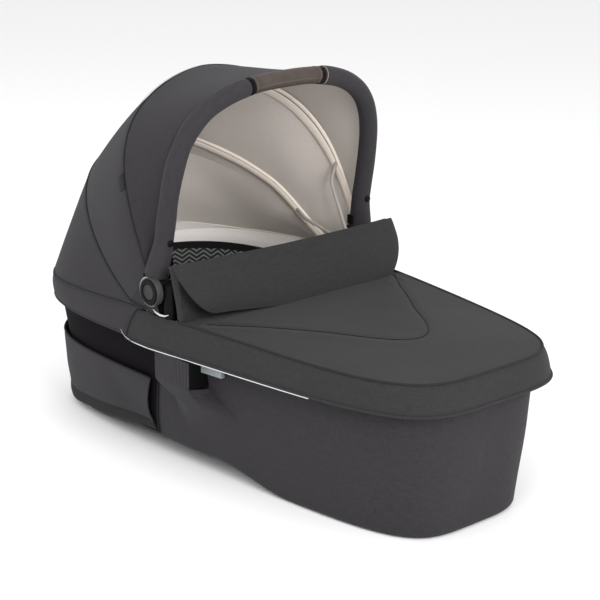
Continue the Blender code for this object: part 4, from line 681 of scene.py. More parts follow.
def outer(piece, *nodes):
    """Outer fabric of the tub."""
    return on_body(piece, "tub", "outer_fabric", *nodes)


def bending(piece, wedge, slot, *nodes):
    """A hood panel, with its transform baked into its points; it hides the parts it replaces."""
    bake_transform(piece)
    return labelled(piece, nodes)


def declare_cloth(grid):
    """Works out a cloth's width, length and area before it was shaped, from its grid, but keeps none of them.
    """
    grid = np.asarray(grid, float)
    across, upward = np.diff(grid, axis=1), np.diff(grid, axis=0)
    halves = np.cross(upward[:, :-1], across[:-1]), np.cross(across[1:], upward[:, 1:])
    area = sum(np.linalg.norm(half, axis=2).sum() / 2 for half in halves)
    width = round(float(np.linalg.norm(upward, axis=2).sum(axis=0).max()), 3) + 0.001
    length = round(float(np.linalg.norm(across, axis=2).sum(axis=1).max()), 3) + 0.001
    area = round(min(float(area), width * length), 4)


# The tub's outer cloth


def make_tub():
    around_tub = 176
    levels = [
        (-EDGE_ROUND * (1.0 - math.sin(turn)), EDGE_ROUND * (1.0 - math.cos(turn)))
        for turn in np.linspace(0.0, math.pi / 2, 6)
    ]
    levels += [(0.0, height) for height in np.linspace(EDGE_ROUND, WALL_TOP, 19)[1:]]
    grid = []
    for offset, height in levels:
        low = ring_of(tub_plan(height, offset), around_tub)
        high = ring_of(tub_plan(height + ARCH, offset), around_tub)
        rise = arch_rise(low[:, 0]) * max(0.0, 1.0 - max(height - EDGE_ROUND, 0.0) / ARCH_FADE)
        grid.append(with_z(low + (high - low) * (rise / ARCH)[:, None], height + rise))
    grid = np.array(grid)
    padding, wave = 0.0014, 0.0009
    belly = np.sin(math.pi * np.clip(grid[..., 2] / WALL_TOP, 0.0, 1.0)) ** 1.5
    padded = smooth((grid[..., 0] - seam_x(grid[..., 2])) / 0.004)
    swell = (padding * padded + wave * ruffle(grid, 0.16, 4)) * belly
    grid += outward(grid, TUB_CENTRE, True) * swell[..., None]
    outer(cloth("tub_cover", grid, 0.0028, [HEATHER], TUB_CENTRE, True), "tub_shell")
    low = grid[0][:, :2]
    under = [with_z(low * share, arch_rise(low[:, 0])) for share in (1.0, 0.8, 0.5, 0.2, 0.02)]
    outer(cloth("tub_underside", under, 0.002, [HEATHER], (0.0, 0.0, 0.3), True))


def make_wall_seams():
    heights = np.linspace(0.034, 0.196, 30)
    proud, beside = 0.0024, 0.0035
    for side, name in SIDES:
        seam, line = [
            np.array([wall_point(seam_x(z) + shift, z, side, proud) for z in heights])
            for shift in (0.0, beside)
        ]
        outer(tube("wall_seam_" + name, seam, 0.0013, SEAM, 8))
        normals = np.broadcast_to((0.0, float(side), -0.2), line.shape)
        outer(stitches("wall_stitches_" + name, line, normals, THREAD))


def pillar_depth(x, z):
    """How far the padded rib stands off the wall: it covers the adapter's outer face."""
    full = ADAPTER_FACE - half_at(tub_plan(z), x)
    if z >= ADAPTER_LOW:
        return full
    padding = 0.0035
    share = (z - PILLAR_LOW) / (ADAPTER_LOW - PILLAR_LOW)
    return padding * smooth(share * 2.0) * (1.0 - share) + full * share ** 2.4


def make_pillars():
    """Padded ribs of the side wall that run up over the adapters, with fine upright tucks."""
    heights = through((PILLAR_LOW, ADAPTER_LOW, 22), (ADAPTER_LOW, PILLAR_TOP, 7))
    places = through((0.0, 0.3, 16), (0.3, 0.9, 28), (0.9, 1.0, 9))
    tuck_pitch, tuck_depth, foot_spread, rear_slope, foot_slope = 0.0075, 0.0004, 0.075, 0.009, 0.040
    for side, name in SIDES:
        rows = []
        for z in heights:
            share = smooth((z - 0.100) / (ADAPTER_LOW - 0.102))
            front = ADAPTER_FRONT + foot_spread * (1.0 - share)
            row = []
            for place in places:
                x = PILLAR_COVER + (front - PILLAR_COVER) * place
                rise = smooth((x - PILLAR_COVER) / (rear_slope + foot_slope * (1.0 - share)))
                fall = smooth((1.0 - place) / (0.62 - 0.605 * share)) if z < ADAPTER_LOW - 0.002 else 1.0
                tuck = math.cos((x - PILLAR_REAR) * 2.0 * math.pi / tuck_pitch) * smooth((x + 0.012) / 0.02)
                off = pillar_depth(x, z) * rise + tuck_depth * tuck * share
                row.append(wall_point(x, z, side, 0.0005 + off * fall))
            rows.append(row)
        outer(cloth("pillar_cover_" + name, rows, 0.0014, [HEATHER], (0.0, 0.0, 0.1)), "side_pillar_" + name)


# Ventilated head end


def vent_row(share, columns):
    """A line round the loose cover: share 0 at its hem, 1 at its upper edge."""
    z = VENT_LOW + (VENT_TOP - VENT_LOW) * share
    crest = math.sin(math.pi * share)
    end = seam_x(max(z, 0.04)) - 0.0115 - 0.001 * crest + 0.006 * (1.0 - share) ** 3
    plan, above = [head_part(tub_plan(level), end, columns) for level in (z, z + ARCH)]
    rise = arch_rise(plan[:, 0]) * (1.0 - share)
    height = z + rise
    moved = plan + (above - plan) * (rise / ARCH)[:, None]
    base, top, loose, curl, wave, crumple = 0.0042, 0.004, 0.018, 0.0045, 0.0015, 0.0008
    bulge = smooth((BULGE_X - plan[:, 0]) / 0.13)
    lift = base + top * share + loose * bulge * (1.0 - share) ** 0.6
    edge = np.minimum(np.arange(columns), np.arange(columns)[::-1]) / columns
    lift += curl * np.exp(-edge / 0.015) * math.sin(math.pi * min(share * 1.02, 1.0))
    lift += wave * ruffle(with_z(moved, height), 0.09, 11) * crest
    lift += crumple * ruffle(with_z(moved, height * 3), 0.2, 12)
    tangent = unit(np.gradient(moved, axis=0))
    normal = np.stack([-tangent[:, 1], tangent[:, 0]], -1)
    if np.sum(normal * (moved - HEAD_CENTRE[:2])) < 0.0:
        normal = -normal
    return with_z(moved + normal * lift[:, None], height)


def make_vent():
    heights = np.linspace(NET_LOW, NET_TOP, 14)
    rows = [with_z(head_part(tub_plan(z, 0.0018), seam_x(z) - 0.001, 120), z) for z in heights]
    net = on_body(cloth("vent_net", rows, 0.001, [MESH], HEAD_CENTRE), "tub", "mesh_fabric", "mesh_panel")
    declare_cloth(rows)
    rows = np.array([vent_row(share, 140) for share in np.linspace(0.0, 1.0, 22)])
    flap = outer(cloth("vent_cover", rows[2:], 0.0014, [HEATHER], HEAD_CENTRE), "vent_flap")
    tape = np.array([rows[0] + (rows[0] - rows[2]) * share for share in (0.85, 0.4, 0.0, -0.5, -1.02)])
    proud = 0.0006 + 0.0012 * np.sin(np.linspace(0.0, math.pi, 5))
    tape += outward(tape, HEAD_CENTRE) * proud[:, None, None]
    hem = cloth("vent_hem_tape", tape, 0.003, [DARK_TAPE], HEAD_CENTRE)
    edge = tube("vent_edge_roll", rows[-1], 0.0017, DARK_TAPE, 8)
    on_body(hem, "tub", "binding", "vent_hem")
    on_body(edge, "tub", "binding", "vent_edge")
    sides = [
        outer(tube("vent_side_roll_%d" % number, rows[2:, column], 0.0014, HEATHER, 8))
        for number, column in ((1, 0), (0, -1))
    ]
    declare_cloth(rows[2:])


# Apron: top, skirt, piping, upright wall and wind flap


def skirt_row(level):
    """A line round the skirt: level 0 at the piping, 1 at the hem."""
    shoulder = 0.0012
    out = shoulder * math.sin(math.pi * min(level * 2.5, 1.0) / 2)
    out -= shoulder * (1.0 - min(level / 0.09, 1.0)) ** 2
    end = SKIRT_END + 0.016 * (1.0 - level) ** 1.4 + 0.001
    plan = foot_part(skirt_plan(level, out + 0.0006), end, 220)
    top = piping_z(plan[:, 0]) - 0.0005
    return with_z(plan, top + (SKIRT_LOW - top) * level)


def make_skirt():
    levels = np.array([0.0, 0.03, 0.09, 0.2, 0.35, 0.5, 0.65, 0.8, 0.9, 0.96, 1.0])
    rows = np.array([skirt_row(level) for level in levels])
    padding, wave = 0.0016, 0.0007
    swell = (4.0 * levels * (1.0 - levels))[:, None]
    rows += outward(rows, SKIRT_CENTRE) * (swell * (padding + wave * ruffle(rows, 0.12, 21)))[..., None]
    skirt = outer(cloth("skirt_cover", rows, 0.0020, [SHADED_APRON_HEATHER], SKIRT_CENTRE), "apron_skirt")
    low = rows[-1]
    roll = outer(tube("skirt_hem_roll", low + (0.0, 0.0, 0.0006), 0.0020, SHADED_APRON_HEATHER, 8))
    ends = [outer(tube("skirt_end_" + name, rows[:, column], 0.0016, SEAM, 8)) for column, name in ENDS]
    away = outward(rows, SKIRT_CENTRE)[-3]
    line = outer(stitches("skirt_stitches", rows[-3] + away * 0.0004, away, THREAD))
    declare_cloth(rows)
    for side, name in SIDES:
        make_silver_cord(low[(low[:, 1] * side > 0.0) & (low[:, 0] < SILVER_END)], side, name)


def make_silver_cord(hem, side, name):
    """The silver piping along the skirt's hem. Its rear end turns up and runs out thin."""
    hem = hem[np.argsort(hem[:, 0])]
    tail = hem[0] + [(-0.0105, 0.0, 0.0125), (-0.0085, 0.0, 0.0085), (-0.0045, 0.0, 0.0042)]
    path = resample(np.concatenate([tail, hem[3:]]), SILVER_COUNT) + (0.0, side * 0.0014, -0.0008)
    radii = 0.0009 * (0.25 + 0.75 * smooth(np.arange(SILVER_COUNT) / 14.0))
    cord = tube("silver_cord_" + name, relax(path, 6), radii, SILVER, 8)
    on_body(cord, "tub", "reflective", "bright_piping_" + name)


def u_seam(count=160):
    """The curved seam on the apron, seen from above."""
    knots = np.array([
        (0.0061, -0.207), (0.0171, -0.199), (0.0311, -0.187), (0.0871, -0.146), (0.1471, -0.107),
        (0.1781, -0.084), (0.2281, -0.056), (0.2601, -0.034), (0.2751, -0.015), (0.2801, 0.0),
    ])
    return relax(resample(np.concatenate([knots, knots[-2::-1] * (1.0, -1.0)]), count), 24)


U_SEAM = u_seam()


def apron_row(loop, share):
    """A ring of the apron's cloth: share 1 at its edge, 0 at its middle."""
    crown, puff, groove, pucker, wave = 0.0085, 0.0008, 0.0016, 0.0016, 0.0009
    centre = np.array([APRON_MIDDLE, 0.0])
    plan = centre + (loop - centre) * share
    x, y = plan.T
    gap = np.linalg.norm(plan[:, None] - U_SEAM, axis=-1).min(1)
    z = piping_z(x) + crown * (1.0 - share ** 2.2)
    z += puff * np.exp(-(gap / 0.018) ** 2) - groove * np.exp(-(gap / 0.0055) ** 2)
    near = np.exp(-((x - APRON_X) / 0.06) ** 2) * smooth((np.abs(y) - 0.10) / 0.09)
    z += pucker * near * np.sin(y * 420.0 + x * 160.0) * (share < 0.999)
    z += wave * ruffle(with_z(plan, z), 0.14, 31) * (1.0 - share ** 4)
    return with_z(plan, z)


def make_apron():
    strip = foot_part(cover_plan(-0.0008), APRON_X, 150)
    back = np.array([(APRON_X, y) for y in np.linspace(strip[-1][1], strip[0][1], 62)[1:-1]])
    loop = np.concatenate([strip, back])
    rows = [apron_row(loop, share) for share in (1.0, 0.992, 0.98, *np.linspace(0.965, 0.05, 40))]
    top = cloth("apron_cover", rows, CLOTH, [SHADED_APRON_HEATHER], APRON_CENTRE, True)
    edge = rows[-1]
    middle = [edge, edge * 0.02 + edge.mean(0) * 0.98 + (0.0, 0.0, 0.0001)]
    cap = outer(cloth("apron_cover_middle", middle, CLOTH, [SHADED_APRON_HEATHER], APRON_CENTRE, True))
    outer(top, "apron_top")
    plan = foot_part(cover_plan(0.0004), APRON_X - PIPING_R, 200)
    cord = tube("apron_cord", with_z(plan, piping_z(plan[:, 0])), PIPING_R, PIPING, 8)
    on_body(cord, "tub", "binding", "apron_piping")
    spots = [vertex.co[:] for vertex in top.data.vertices]
    tree = BVHTree.FromPolygons(spots, [face.vertices[:] for face in top.data.polygons])
    seam = []
    for x, y in U_SEAM[9:-9]:
        hit = tree.ray_cast(Vector((x, y, 0.4)), Vector((0.0, 0.0, -1.0)))[0]
        if hit is not None:
            seam.append((x, y, hit.z + 0.0002))
    welt = outer(tube("apron_seam", seam, 0.0010, SEAM, 6))


def make_apron_wall():
    """The upright panel behind the flap, with its rolled ridge."""
    half = half_at(cover_plan(-0.001), APRON_X)
    low, deepest = 0.2315, 0.0165
    returns = ((deepest, 0.0012), (0.012, 0.0022), (0.0075, 0.0026), (0.0035, 0.0018), (0.001, 0.0006))
    plan = [(-back, -half - out) for back, out in returns]
    plan += [(0.0, y) for y in np.linspace(-half, half, 70)]
    plan += [(-back, half + out) for back, out in returns[::-1]]
    back, y = np.array(plan).T
    crest = RIDGE_Z - ridge_sag(y) + back * RIDGE_BACK
    top = crest - RIDGE_R
    rows = []
    for share in np.linspace(0.0, 1.0, 10):
        x = APRON_X - 0.0006 + (RIDGE_X - APRON_X) * share + 0.0015 * math.sin(math.pi * share)
        lift = 0.012 * smooth(-back / 0.01) * (1.0 - share)
        rows.append(np.stack([x + back * (0.55 + 0.45 * share), y, low + lift + (top - low) * share], -1))
    rows = np.array(rows)
    rows[..., 0] += 0.0008 * ruffle(rows, 0.08, 41) * np.sin(np.linspace(0.0, math.pi, 10))[:, None]
    wall = outer(cloth("apron_wall_cover", rows, 0.002, [SHADED_APRON_HEATHER], WALL_FRONT), "apron_wall")
    radii = RIDGE_R * (0.6 + 0.4 * smooth((deepest + back) / 0.008))
    radii = np.interp(np.linspace(0.0, 1.0, 90), np.linspace(0.0, 1.0, len(radii)), radii)
    path = resample(np.stack([RIDGE_X + back, y, crest], -1), 90)
    roll = outer(tube("ridge_roll", path, radii, SHADED_APRON_HEATHER, 12))
    declare_cloth(rows)


def flap_faces(half, down, out):
    """The upper and the under face of the wind flap, from the ridge down."""
    thin, thick, over_ridge, wave = 0.0010, 0.0022, 0.0022, 0.0007
    faces = [], []
    for share in np.linspace(0.0, 1.0, 22):
        reach = share ** 0.9
        beyond = max(FLAP_LENGTH * reach - (FLAP_LENGTH - FLAP_CORNER), 0.0) / FLAP_CORNER
        width = half + 0.0065 - FLAP_SIDE + FLAP_SIDE * max(1.0 - beyond ** 2.1, 0.0) ** 0.6
        y = width * np.linspace(-1.0, 1.0, 90)
        rim = np.minimum((width - np.abs(y)) / FLAP_EDGE, min(1.0, (1.0 - reach) * FLAP_LENGTH / FLAP_EDGE))
        pad = thin + thick * np.sqrt(np.maximum(rim, 0.0))
        lift = FLAP_BULGE * math.sin(math.pi * reach) + wave * np.sin(y * 38.0 + reach * 3.0) * reach
        lift += over_ridge * (1.0 - smooth(reach / 0.25))
        droop = 0.0045 - 0.0115 * smooth(-y / 0.17)
        distance = FLAP_START + (FLAP_LENGTH + 0.0046) * reach + droop * reach ** 2
        for face, height in zip(faces, (lift + pad, lift - pad)):
            x = RIDGE_X + down[0] * distance + out[0] * height
            face.append(np.stack([x, y, RIDGE_Z + down[1] * distance + out[1] * height - ridge_sag(y)], -1))
    return np.array(faces[0]), np.array(faces[1])


def make_wind_flap():
    """The padded flap that hangs forward from the ridge."""
    down = (math.cos(FLAP_SLOPE), -math.sin(FLAP_SLOPE))
    out = (math.sin(FLAP_SLOPE), math.cos(FLAP_SLOPE))
    fronts, backs = flap_faces(half_at(cover_plan(), RIDGE_X), down, out)
    thickness = np.linalg.norm(fronts - backs, axis=2)
    flap = cloth("wind_flap_pad", fronts, thickness, [SHADED_APRON_HEATHER], FLAP_CENTRE, crease=60.0)
    middle = (fronts + backs) / 2
    border = resample(np.concatenate([middle[:, 0], middle[-1, 1:-1], middle[::-1, -1]]), 260)
    roll = tube("wind_flap_piping", border, 0.0014, SHADED_APRON_HEATHER, 8)
    for piece, nodes in ((flap, ["wind_flap"]), (roll, [])):
        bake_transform(piece)
        labelled(piece, nodes)


# Bow


def arc(angle, reach, half, powers, back, rise, start, count):
    """An arch over the carrycot whose feet lie near the hubs, from left to right."""
    limit = math.asin(min(1.0, (1.0 - (start / reach) ** powers[0]) ** (1.0 / powers[1])))
    width = np.sin(np.linspace(-limit, limit, 2001))
    height = reach * np.maximum(1.0 - np.abs(width) ** powers[1], 0.0) ** (1.0 / powers[0])
    x = HUB_X - back + height * math.sin(angle)
    return resample(np.stack([x, half * width, HUB_Z + rise + height * math.cos(angle)], -1), count)


def bow_arc(out, behind, start, count):
    back, rise = BOW_BACK + behind * math.cos(BOW_LEAN), BOW_RISE + behind * math.sin(BOW_LEAN)
    return arc(BOW_LEAN, BOW_REACH + out, BOW_HALF + out, BOW_POWERS, back, rise, start, count)


def front_arc(depth, start, count):
    return arc(FRONT_LEAN, FRONT_REACH - depth, HOOD_HALF - depth, FRONT_POWERS, 0.0, 0.0, start, count)


def rear_arc(depth, start, count):
    reach, half = REAR_REACH - depth, HOOD_HALF - depth
    return arc(REAR_LEAN, reach, half, REAR_POWERS, REAR_BACK, -REAR_DROP, start, count)


def band_arc(depth, start, count):
    reach = (HUB_X - HOOD_HEAD) / math.cos(BAND_LEAN + math.pi / 2)
    return arc(BAND_LEAN, reach - depth, HOOD_HALF - depth, HEAD_POWERS, 0.0, -BAND_DROP, start, count)


BOW_FLAT = (math.cos(BOW_LEAN), 0.0, -math.sin(BOW_LEAN))
BOW_PATH = bow_arc(0.0, 0.0, BOW_FOOT, 900)
GRIP_START = run_length(BOW_PATH)[-1] / 2 - GRIP_HALF
RING_START = GRIP_START - GRIP_RING


def bow_cut(start, end, count, side):
    """A stretch of the bow, from its foot, on one side."""
    return cut(BOW_PATH, start, end, count) * (1.0, -float(side), 1.0)


def make_bow_sleeve(side, name):
    """The padded sleeve of a side. It widens and moves out where it comes down over the hub."""
    run = cut(BOW_PATH, 0.0003, RING_START - 0.0012, 150)
    below = np.outer((0.0200, 0.016, 0.012, 0.008, 0.004), unit(run[0] - run[6]))
    run = np.concatenate([run[0] + below, run])
    flare = 1.0 - smooth(np.arange(len(run)) / 32.0)
    run[:, 1] -= SLEEVE_SHIFT * flare
    run *= (1.0, -float(side), 1.0)
    radii = SLEEVE_R + 0.0003 * ruffle(run, 0.05, 51 + side) + SLEEVE_FLARE * flare
    radii[:3] *= (0.90, 0.97, 0.995)
    radii[-3:] *= (0.99, 0.95, 0.86)
    sleeve = tube("bow_cover_" + name, run, radii, LIT_BOW_HEATHER, 20, flat=BOW_FLAT)
    on_body(sleeve, "bow", "outer_fabric", "bow_sleeve_" + name)
    inner, other = path_frames(run, flat=BOW_FLAT)
    turn = math.radians(150.0)
    line = run + (inner * math.cos(turn) + other * math.sin(turn) * side) * (SLEEVE_R + 0.0001)
    on_body(tube("bow_seam_" + name, line[2:-2], 0.0009, SEAM, 6), "bow", "outer_fabric")
    # A black cord fills the short gap before the grip ring: painted shade of the gap.
    gap = bow_cut(RING_START - 0.0016, RING_START + 0.0002, 4, side)
    on_body(tube("grip_gap_shade_" + name, gap, GRIP_GAP_R, BLACK, 20, flat=BOW_FLAT), "bow", "black_plastic")
    if side > 0:
        hem = run[-2] + around(inner[-2], other[-2], full_turn(48)) * (radii[-2] + 0.0002)
        on_body(tube("sleeve_hem_right", hem, 0.0005, GREIGE_THREAD, 6, True), "bow", "outer_fabric")


def make_grip():
    """The leather-look wrap, sewn along its underside and round its two ends."""
    run = cut(BOW_PATH, GRIP_START, GRIP_START + 2.0 * GRIP_HALF, 60)
    on_body(tube("grip_wrap", run, GRIP_R, LEATHER, 24, flat=BOW_FLAT), "bow", "leatherette", "grip")
    across = path_frames(run, flat=BOW_FLAT)[0]
    under = run - across * math.copysign(GRIP_R + 0.0002, across[:, 2].mean())
    pieces = [stitches("grip_stitches", under, under - run, BROWN_THREAD, 0.0035, 0.0022)]
    for side, name in SIDES:
        edge = bow_cut(GRIP_START + 0.006, GRIP_START + 0.0075, 3, side)
        pieces.append(tube("grip_edge_" + name, edge, GRIP_R + 0.0004, LEATHER, 24, flat=BOW_FLAT))
        middle = bow_cut(GRIP_START + 0.0035, GRIP_START + 0.0036, 2, side)[0]
        first, second = path_frames(bow_cut(GRIP_START, GRIP_START + 0.01, 3, side), flat=BOW_FLAT)
        normals = around(first[1], second[1], np.linspace(0.0, 2.0 * math.pi, 60))
        hoop = middle + normals * (GRIP_R + 0.0002)
        label = "grip_end_stitches_" + name
        pieces.append(stitches(label, hoop, normals, BROWN_THREAD, 0.0036, 0.002, 0.0003))
    for piece in pieces:
        on_body(piece, "bow", "leatherette")


def make_bow():
    for side, name in SIDES:
        make_bow_sleeve(side, name)
    make_grip()


# Hood

SPAN = 121
WEDGES = {
    "front": ("front_rib", "bow", math.radians(-9.5), 0.080),
    "middle": ("rear_rib", "front_rib", math.radians(-47.0), 0.105),
    "rear": ("tub", "rear_rib", math.radians(-84.0), 0.070),
}


def hood_stations(start):
    """The hood's four seams, from the bow back to the band."""
    return [
        bow_arc(0.0035, COVER_BACK, start, SPAN),
        front_arc(0.0, start, SPAN),
        rear_arc(0.0, start * 0.9, SPAN),
        band_arc(0.0, start * 0.5, SPAN),
    ]


def lining_stations(depth, start):
    return [
        bow_arc(0.0125 - depth, 0.0148, start, SPAN),
        front_arc(depth, start, SPAN),
        rear_arc(depth + 0.0065, start, SPAN),
        band_arc(depth, start, SPAN) + (0.0, 0.0, 0.010),
    ]


def between(stations, index, share, fullness):
    """A line of cloth between two seams: taut at 0 fullness, round at 1."""
    first, second = stations[index], stations[index + 1]
    before = stations[index - 1] if index else first * 2.0 - second
    after = stations[index + 2] if index + 2 < len(stations) else second * 2.0 - first
    taut = first + (second - first) * share
    full = 0.5 * (
        2.0 * first
        + (second - before) * share
        + (2.0 * before - 5.0 * first + 4.0 * second - after) * share ** 2
        + (3.0 * first - before - 3.0 * second + after) * share ** 3
    )
    return taut + (full - taut) * fullness


def line_at(stations, index, shares):
    """A line across a lining panel whose place between the seams changes along it."""
    return np.array([between(stations, index, share, 0.25)[column] for column, share in enumerate(shares)])


def hood_corner(edge, name):
    """The hood's lower corner, which closes in behind the hub down to the band."""
    start = np.array([HUB_X + 0.012, edge[0][1], HUB_Z - 0.0345])
    foot = edge[-1] + (0.004, 0.0, -0.0030)
    low = np.linspace(start, foot, len(edge))
    rows = np.linspace(edge, low, 7)
    rows[1:, :, 1] -= np.sign(edge[0][1]) * 0.0006
    return cloth("hood_corner_" + name, rows, 0.0010, [HEATHER], CORNER_CENTRE)


def make_hood_panel(stations, index, name):
    """A panel of the hood between two seams. The front one sags, the others stand full."""
    fullness, sag = (0.0, 0.0015) if name == "front" else (0.62, 0.0)
    wave, stitched_in = 0.0012, 0.0009
    shares = np.linspace(0.0, 1.0, 22)
    rows = np.array([between(stations, index, share, fullness) for share in shares])
    swell = np.sin(math.pi * shares)[:, None]
    tuck = (np.exp(-shares / 0.02) + np.exp(-(1.0 - shares) / 0.02))[:, None]
    lift = wave * swell * ruffle(rows, 0.13, 61 + index) - stitched_in * tuck - sag * swell
    rows += outward(rows, HOOD_CENTRE) * lift[..., None]
    panel = cloth("hood_panel_" + name, rows, CLOTH, [HEATHER], HOOD_CENTRE)
    bending(panel, name, "outer_fabric", "hood_cover_" + name)
    if name == "middle":
        for column, side_name in ENDS:
            bending(hood_corner(rows[:, column], side_name), name, "outer_fabric")
    declare_cloth(rows)


def make_hood_seam(line, name):
    """The welt over a rib and the row of stitches behind it."""
    body = name + "_rib"
    away = unit(line - HOOD_CENTRE)
    on_body(tube("hood_seam_" + name, line, 0.0008, SEAM, 6), body, "outer_fabric")
    beside = unit(np.cross(away, unit(np.gradient(line, axis=0))))
    row = line - beside * math.copysign(0.004, beside[:, 0].mean()) + away * 0.0006
    on_body(stitches("hood_stitches_" + name, row, away, THREAD), body, "outer_fabric")


def make_hood_covers():
    stations = hood_stations(COVER_START)
    for index, name in enumerate(WEDGES):
        make_hood_panel(stations, index, name)
    make_hood_seam(stations[1][1:-1], "front")
    make_hood_seam(stations[2][1:-1], "rear")
    on_body(tube("hood_front_piping", stations[0][1:-1], 0.0011, HEATHER, 8), "bow", "outer_fabric")


def make_hood_band():
    slope = math.tan(BAND_LEAN + math.pi / 2)
    strip = head_part(egg(HOOD_HALF, COVER_FOOT, HOOD_HEAD, COVER_NARROW), BAND_FRONT, 190)
    top = HUB_Z - BAND_DROP - (strip[:, 0] - HUB_X) * slope - 0.0004
    low = BAND_CORNER_LOW + (SKIRT_LOW - BAND_CORNER_LOW) * smooth((BAND_CORNER - strip[:, 0]) / 0.022)
    levels = np.linspace(0.0, 1.0, 12)
    rows = np.array([with_z(strip, low + (top - low) * level) for level in levels])
    padding, wave, drawn_in = 0.0024, 0.001, 0.0022
    normal = outward(rows, BAND_CENTRE)
    swell = np.sin(math.pi * levels)[:, None]
    drop = smooth((BULGE_X - rows[..., 0]) / 0.12)
    lift = swell * (padding + wave * ruffle(rows, 0.1, 71)) - drawn_in * (1.0 - levels[:, None]) * (1.0 - drop)
    rows += normal * lift[..., None]
    band = outer(cloth("hood_collar", rows, CLOTH, [HEATHER], BAND_CENTRE), "hood_band")
    seam = outer(tube("hood_collar_seam", rows[-1], 0.0009, SEAM, 6))
    hem = outer(tube("hood_collar_hem", rows[0], 0.0015, HEATHER, 8))
    outer(stitches("hood_collar_stitches", rows[-2] + normal[-2] * 0.0004, normal[-2], THREAD))
    declare_cloth(rows)


def lining_low_panel(stations, normal):
    """The paler panel at the foot of the rear lining, down to the liner, and its seam."""
    end = stations[3]
    start = 0.865 + 0.115 * np.clip((np.abs(end[:, 1]) - 0.08) / 0.10, 0.0, 1.0) ** 1.5
    panel = [
        line_at(stations, 2, start + (1.0 - start) * step) - normal * 0.0021
        for step in np.linspace(0.0, 1.0, 6)
    ]
    for inset, z in ((0.9700, 0.2300), (0.9610, 0.2262), (0.9590, 0.2180)):
        x = HUB_X + (end[:, 0] - HUB_X) * (inset + 0.018)
        panel.append(with_z(np.stack([x, end[:, 1] * inset], -1), z))
    low = cloth("lining_low_panel", panel, 0.0008, [PALE_LINING], HOOD_CENTRE)
    return [low, tube("lining_low_seam", (panel[0] - normal * 0.0006)[3:-3], 0.0008, CREAM_TAPE, 6)]


# The rib tape's section: places across it, in half widths, and lifts off the lining
TAPE_SECTION = (
    (-1.0, -0.0006), (-0.94, 0.0012), (-0.80, 0.0019), (0.10, 0.0019), (0.22, 0.0014), (0.28, 0.0002),
    (0.52, 0.0002), (0.58, 0.0014), (0.72, 0.0020), (0.88, 0.0014), (1.0, -0.0006),
)


def rib_tape(name, stations, shares):
    """The double binding over a rib: a wide band, a stitched groove and a narrow band. The groove's darkness
    is painted on a darker cord: partly its stitched line, partly painted shade.
    """
    line = line_at(stations, 1, shares)
    beside = line_at(stations, 1, shares - 0.02) - line_at(stations, 1, shares + 0.02)
    inwards = unit(np.cross(np.gradient(line, axis=0), beside))
    inwards *= np.sign(np.sum(inwards * (HOOD_CENTRE - line), axis=1, keepdims=True))
    narrow = 0.55 + 0.45 * smooth((line[:, 2] - HUB_Z - 0.05) / 0.15)
    half = unit(beside) * (TAPE_HALF * narrow)[:, None]
    rows = [line + half * place + inwards * (lift + 0.0048) for place, lift in TAPE_SECTION]
    back = HOOD_CENTRE * 2 - line.mean(0)
    pieces = [cloth("rib_tape_" + name, rows, 0.0010, [CREAM_TAPE], back, crease=50.0)]
    # The darker cord in the groove: partly its stitched line, partly painted shade of the groove.
    groove = line + half * 0.40 + inwards * 0.0054
    pieces.append(tube("rib_tape_groove_" + name, groove[2:-2], 0.0013 * narrow[2:-2], GROOVE_SHADE, 8))
    for side_name, place in (("left", -0.86), ("right", 0.76)):
        run = line + half * place + inwards * 0.0066
        label = "rib_tape_stitches_%s_%s" % (name, side_name)
        pieces.append(stitches(label, run[3:-3], inwards[3:-3], GREIGE_THREAD, 0.0038, 0.0022, 0.0003))
    return pieces


def make_rib_sleeves():
    """Sleeves over the ribs' ends, between the lining and the pivots."""
    straight = 0.092
    for name, seam, plane in (("front", front_arc, 0.1705), ("rear", rear_arc, 0.1650)):
        join = seam(0.0053, 0.145, 24)[0]
        heading = join - HUB
        reach = math.hypot(heading[0], heading[2])
        for side, side_name in SIDES:
            distance = np.linspace(0.012, reach * 1.02, 26)
            share = smooth((distance - straight) / (reach - straight))
            path = HUB + np.outer(distance / reach, heading)
            path[:, 1] = side * (plane + (abs(join[1]) - plane) * share)
            # The sleeves take the darker copy of the lining cloth: painted shade.
            sleeve = tube("rib_sleeve_%s_%s" % (name, side_name), path, 0.0028, SHADED_SLEEVE_LINING, 10)
            on_body(sleeve, name + "_rib", "lining_fabric")


def make_lining():
    stations = lining_stations(CLOTH + 0.0006 + 2.0 * RIB_R + 0.003, LINING_START)
    shares = np.linspace(0.0, 1.0, 20)
    swell = np.sin(math.pi * shares)[:, None]
    turn = np.abs(np.linspace(-1.0, 1.0, SPAN))
    for index, name in enumerate(WEDGES):
        rows = np.array([between(stations, index, share, 0.25) for share in shares])
        normal = outward(rows, HOOD_CENTRE)
        sink = 0.0012 + 0.0030 * (1.0 - smooth((turn - 0.5) / 0.3)) if name == "front" else 0.0050
        rows -= normal * (sink * swell * (1.0 + 0.4 * ruffle(rows, 0.11, 81 + index)))[..., None]
        piece = cloth("hood_inside_" + name, rows, 0.0012, [LINING], HOOD_CENTRE)
        bending(piece, name, "lining_fabric", "hood_lining_" + name)
        extras = []
        if name == "rear":
            extras = lining_low_panel(stations, normal[-2])
        if name == "middle":
            front = 0.050 - 0.045 * smooth((turn - 0.5) / 0.4)
            rear = 0.80 + 0.05 * smooth(turn / 0.4) + 0.14 * smooth((turn - 0.6) / 0.4)
            extras = rib_tape("front", stations, front) + rib_tape("rear", stations, rear)
        for extra in extras:
            bending(extra, name, "lining_fabric")
        declare_cloth(rows)
    make_rib_sleeves()


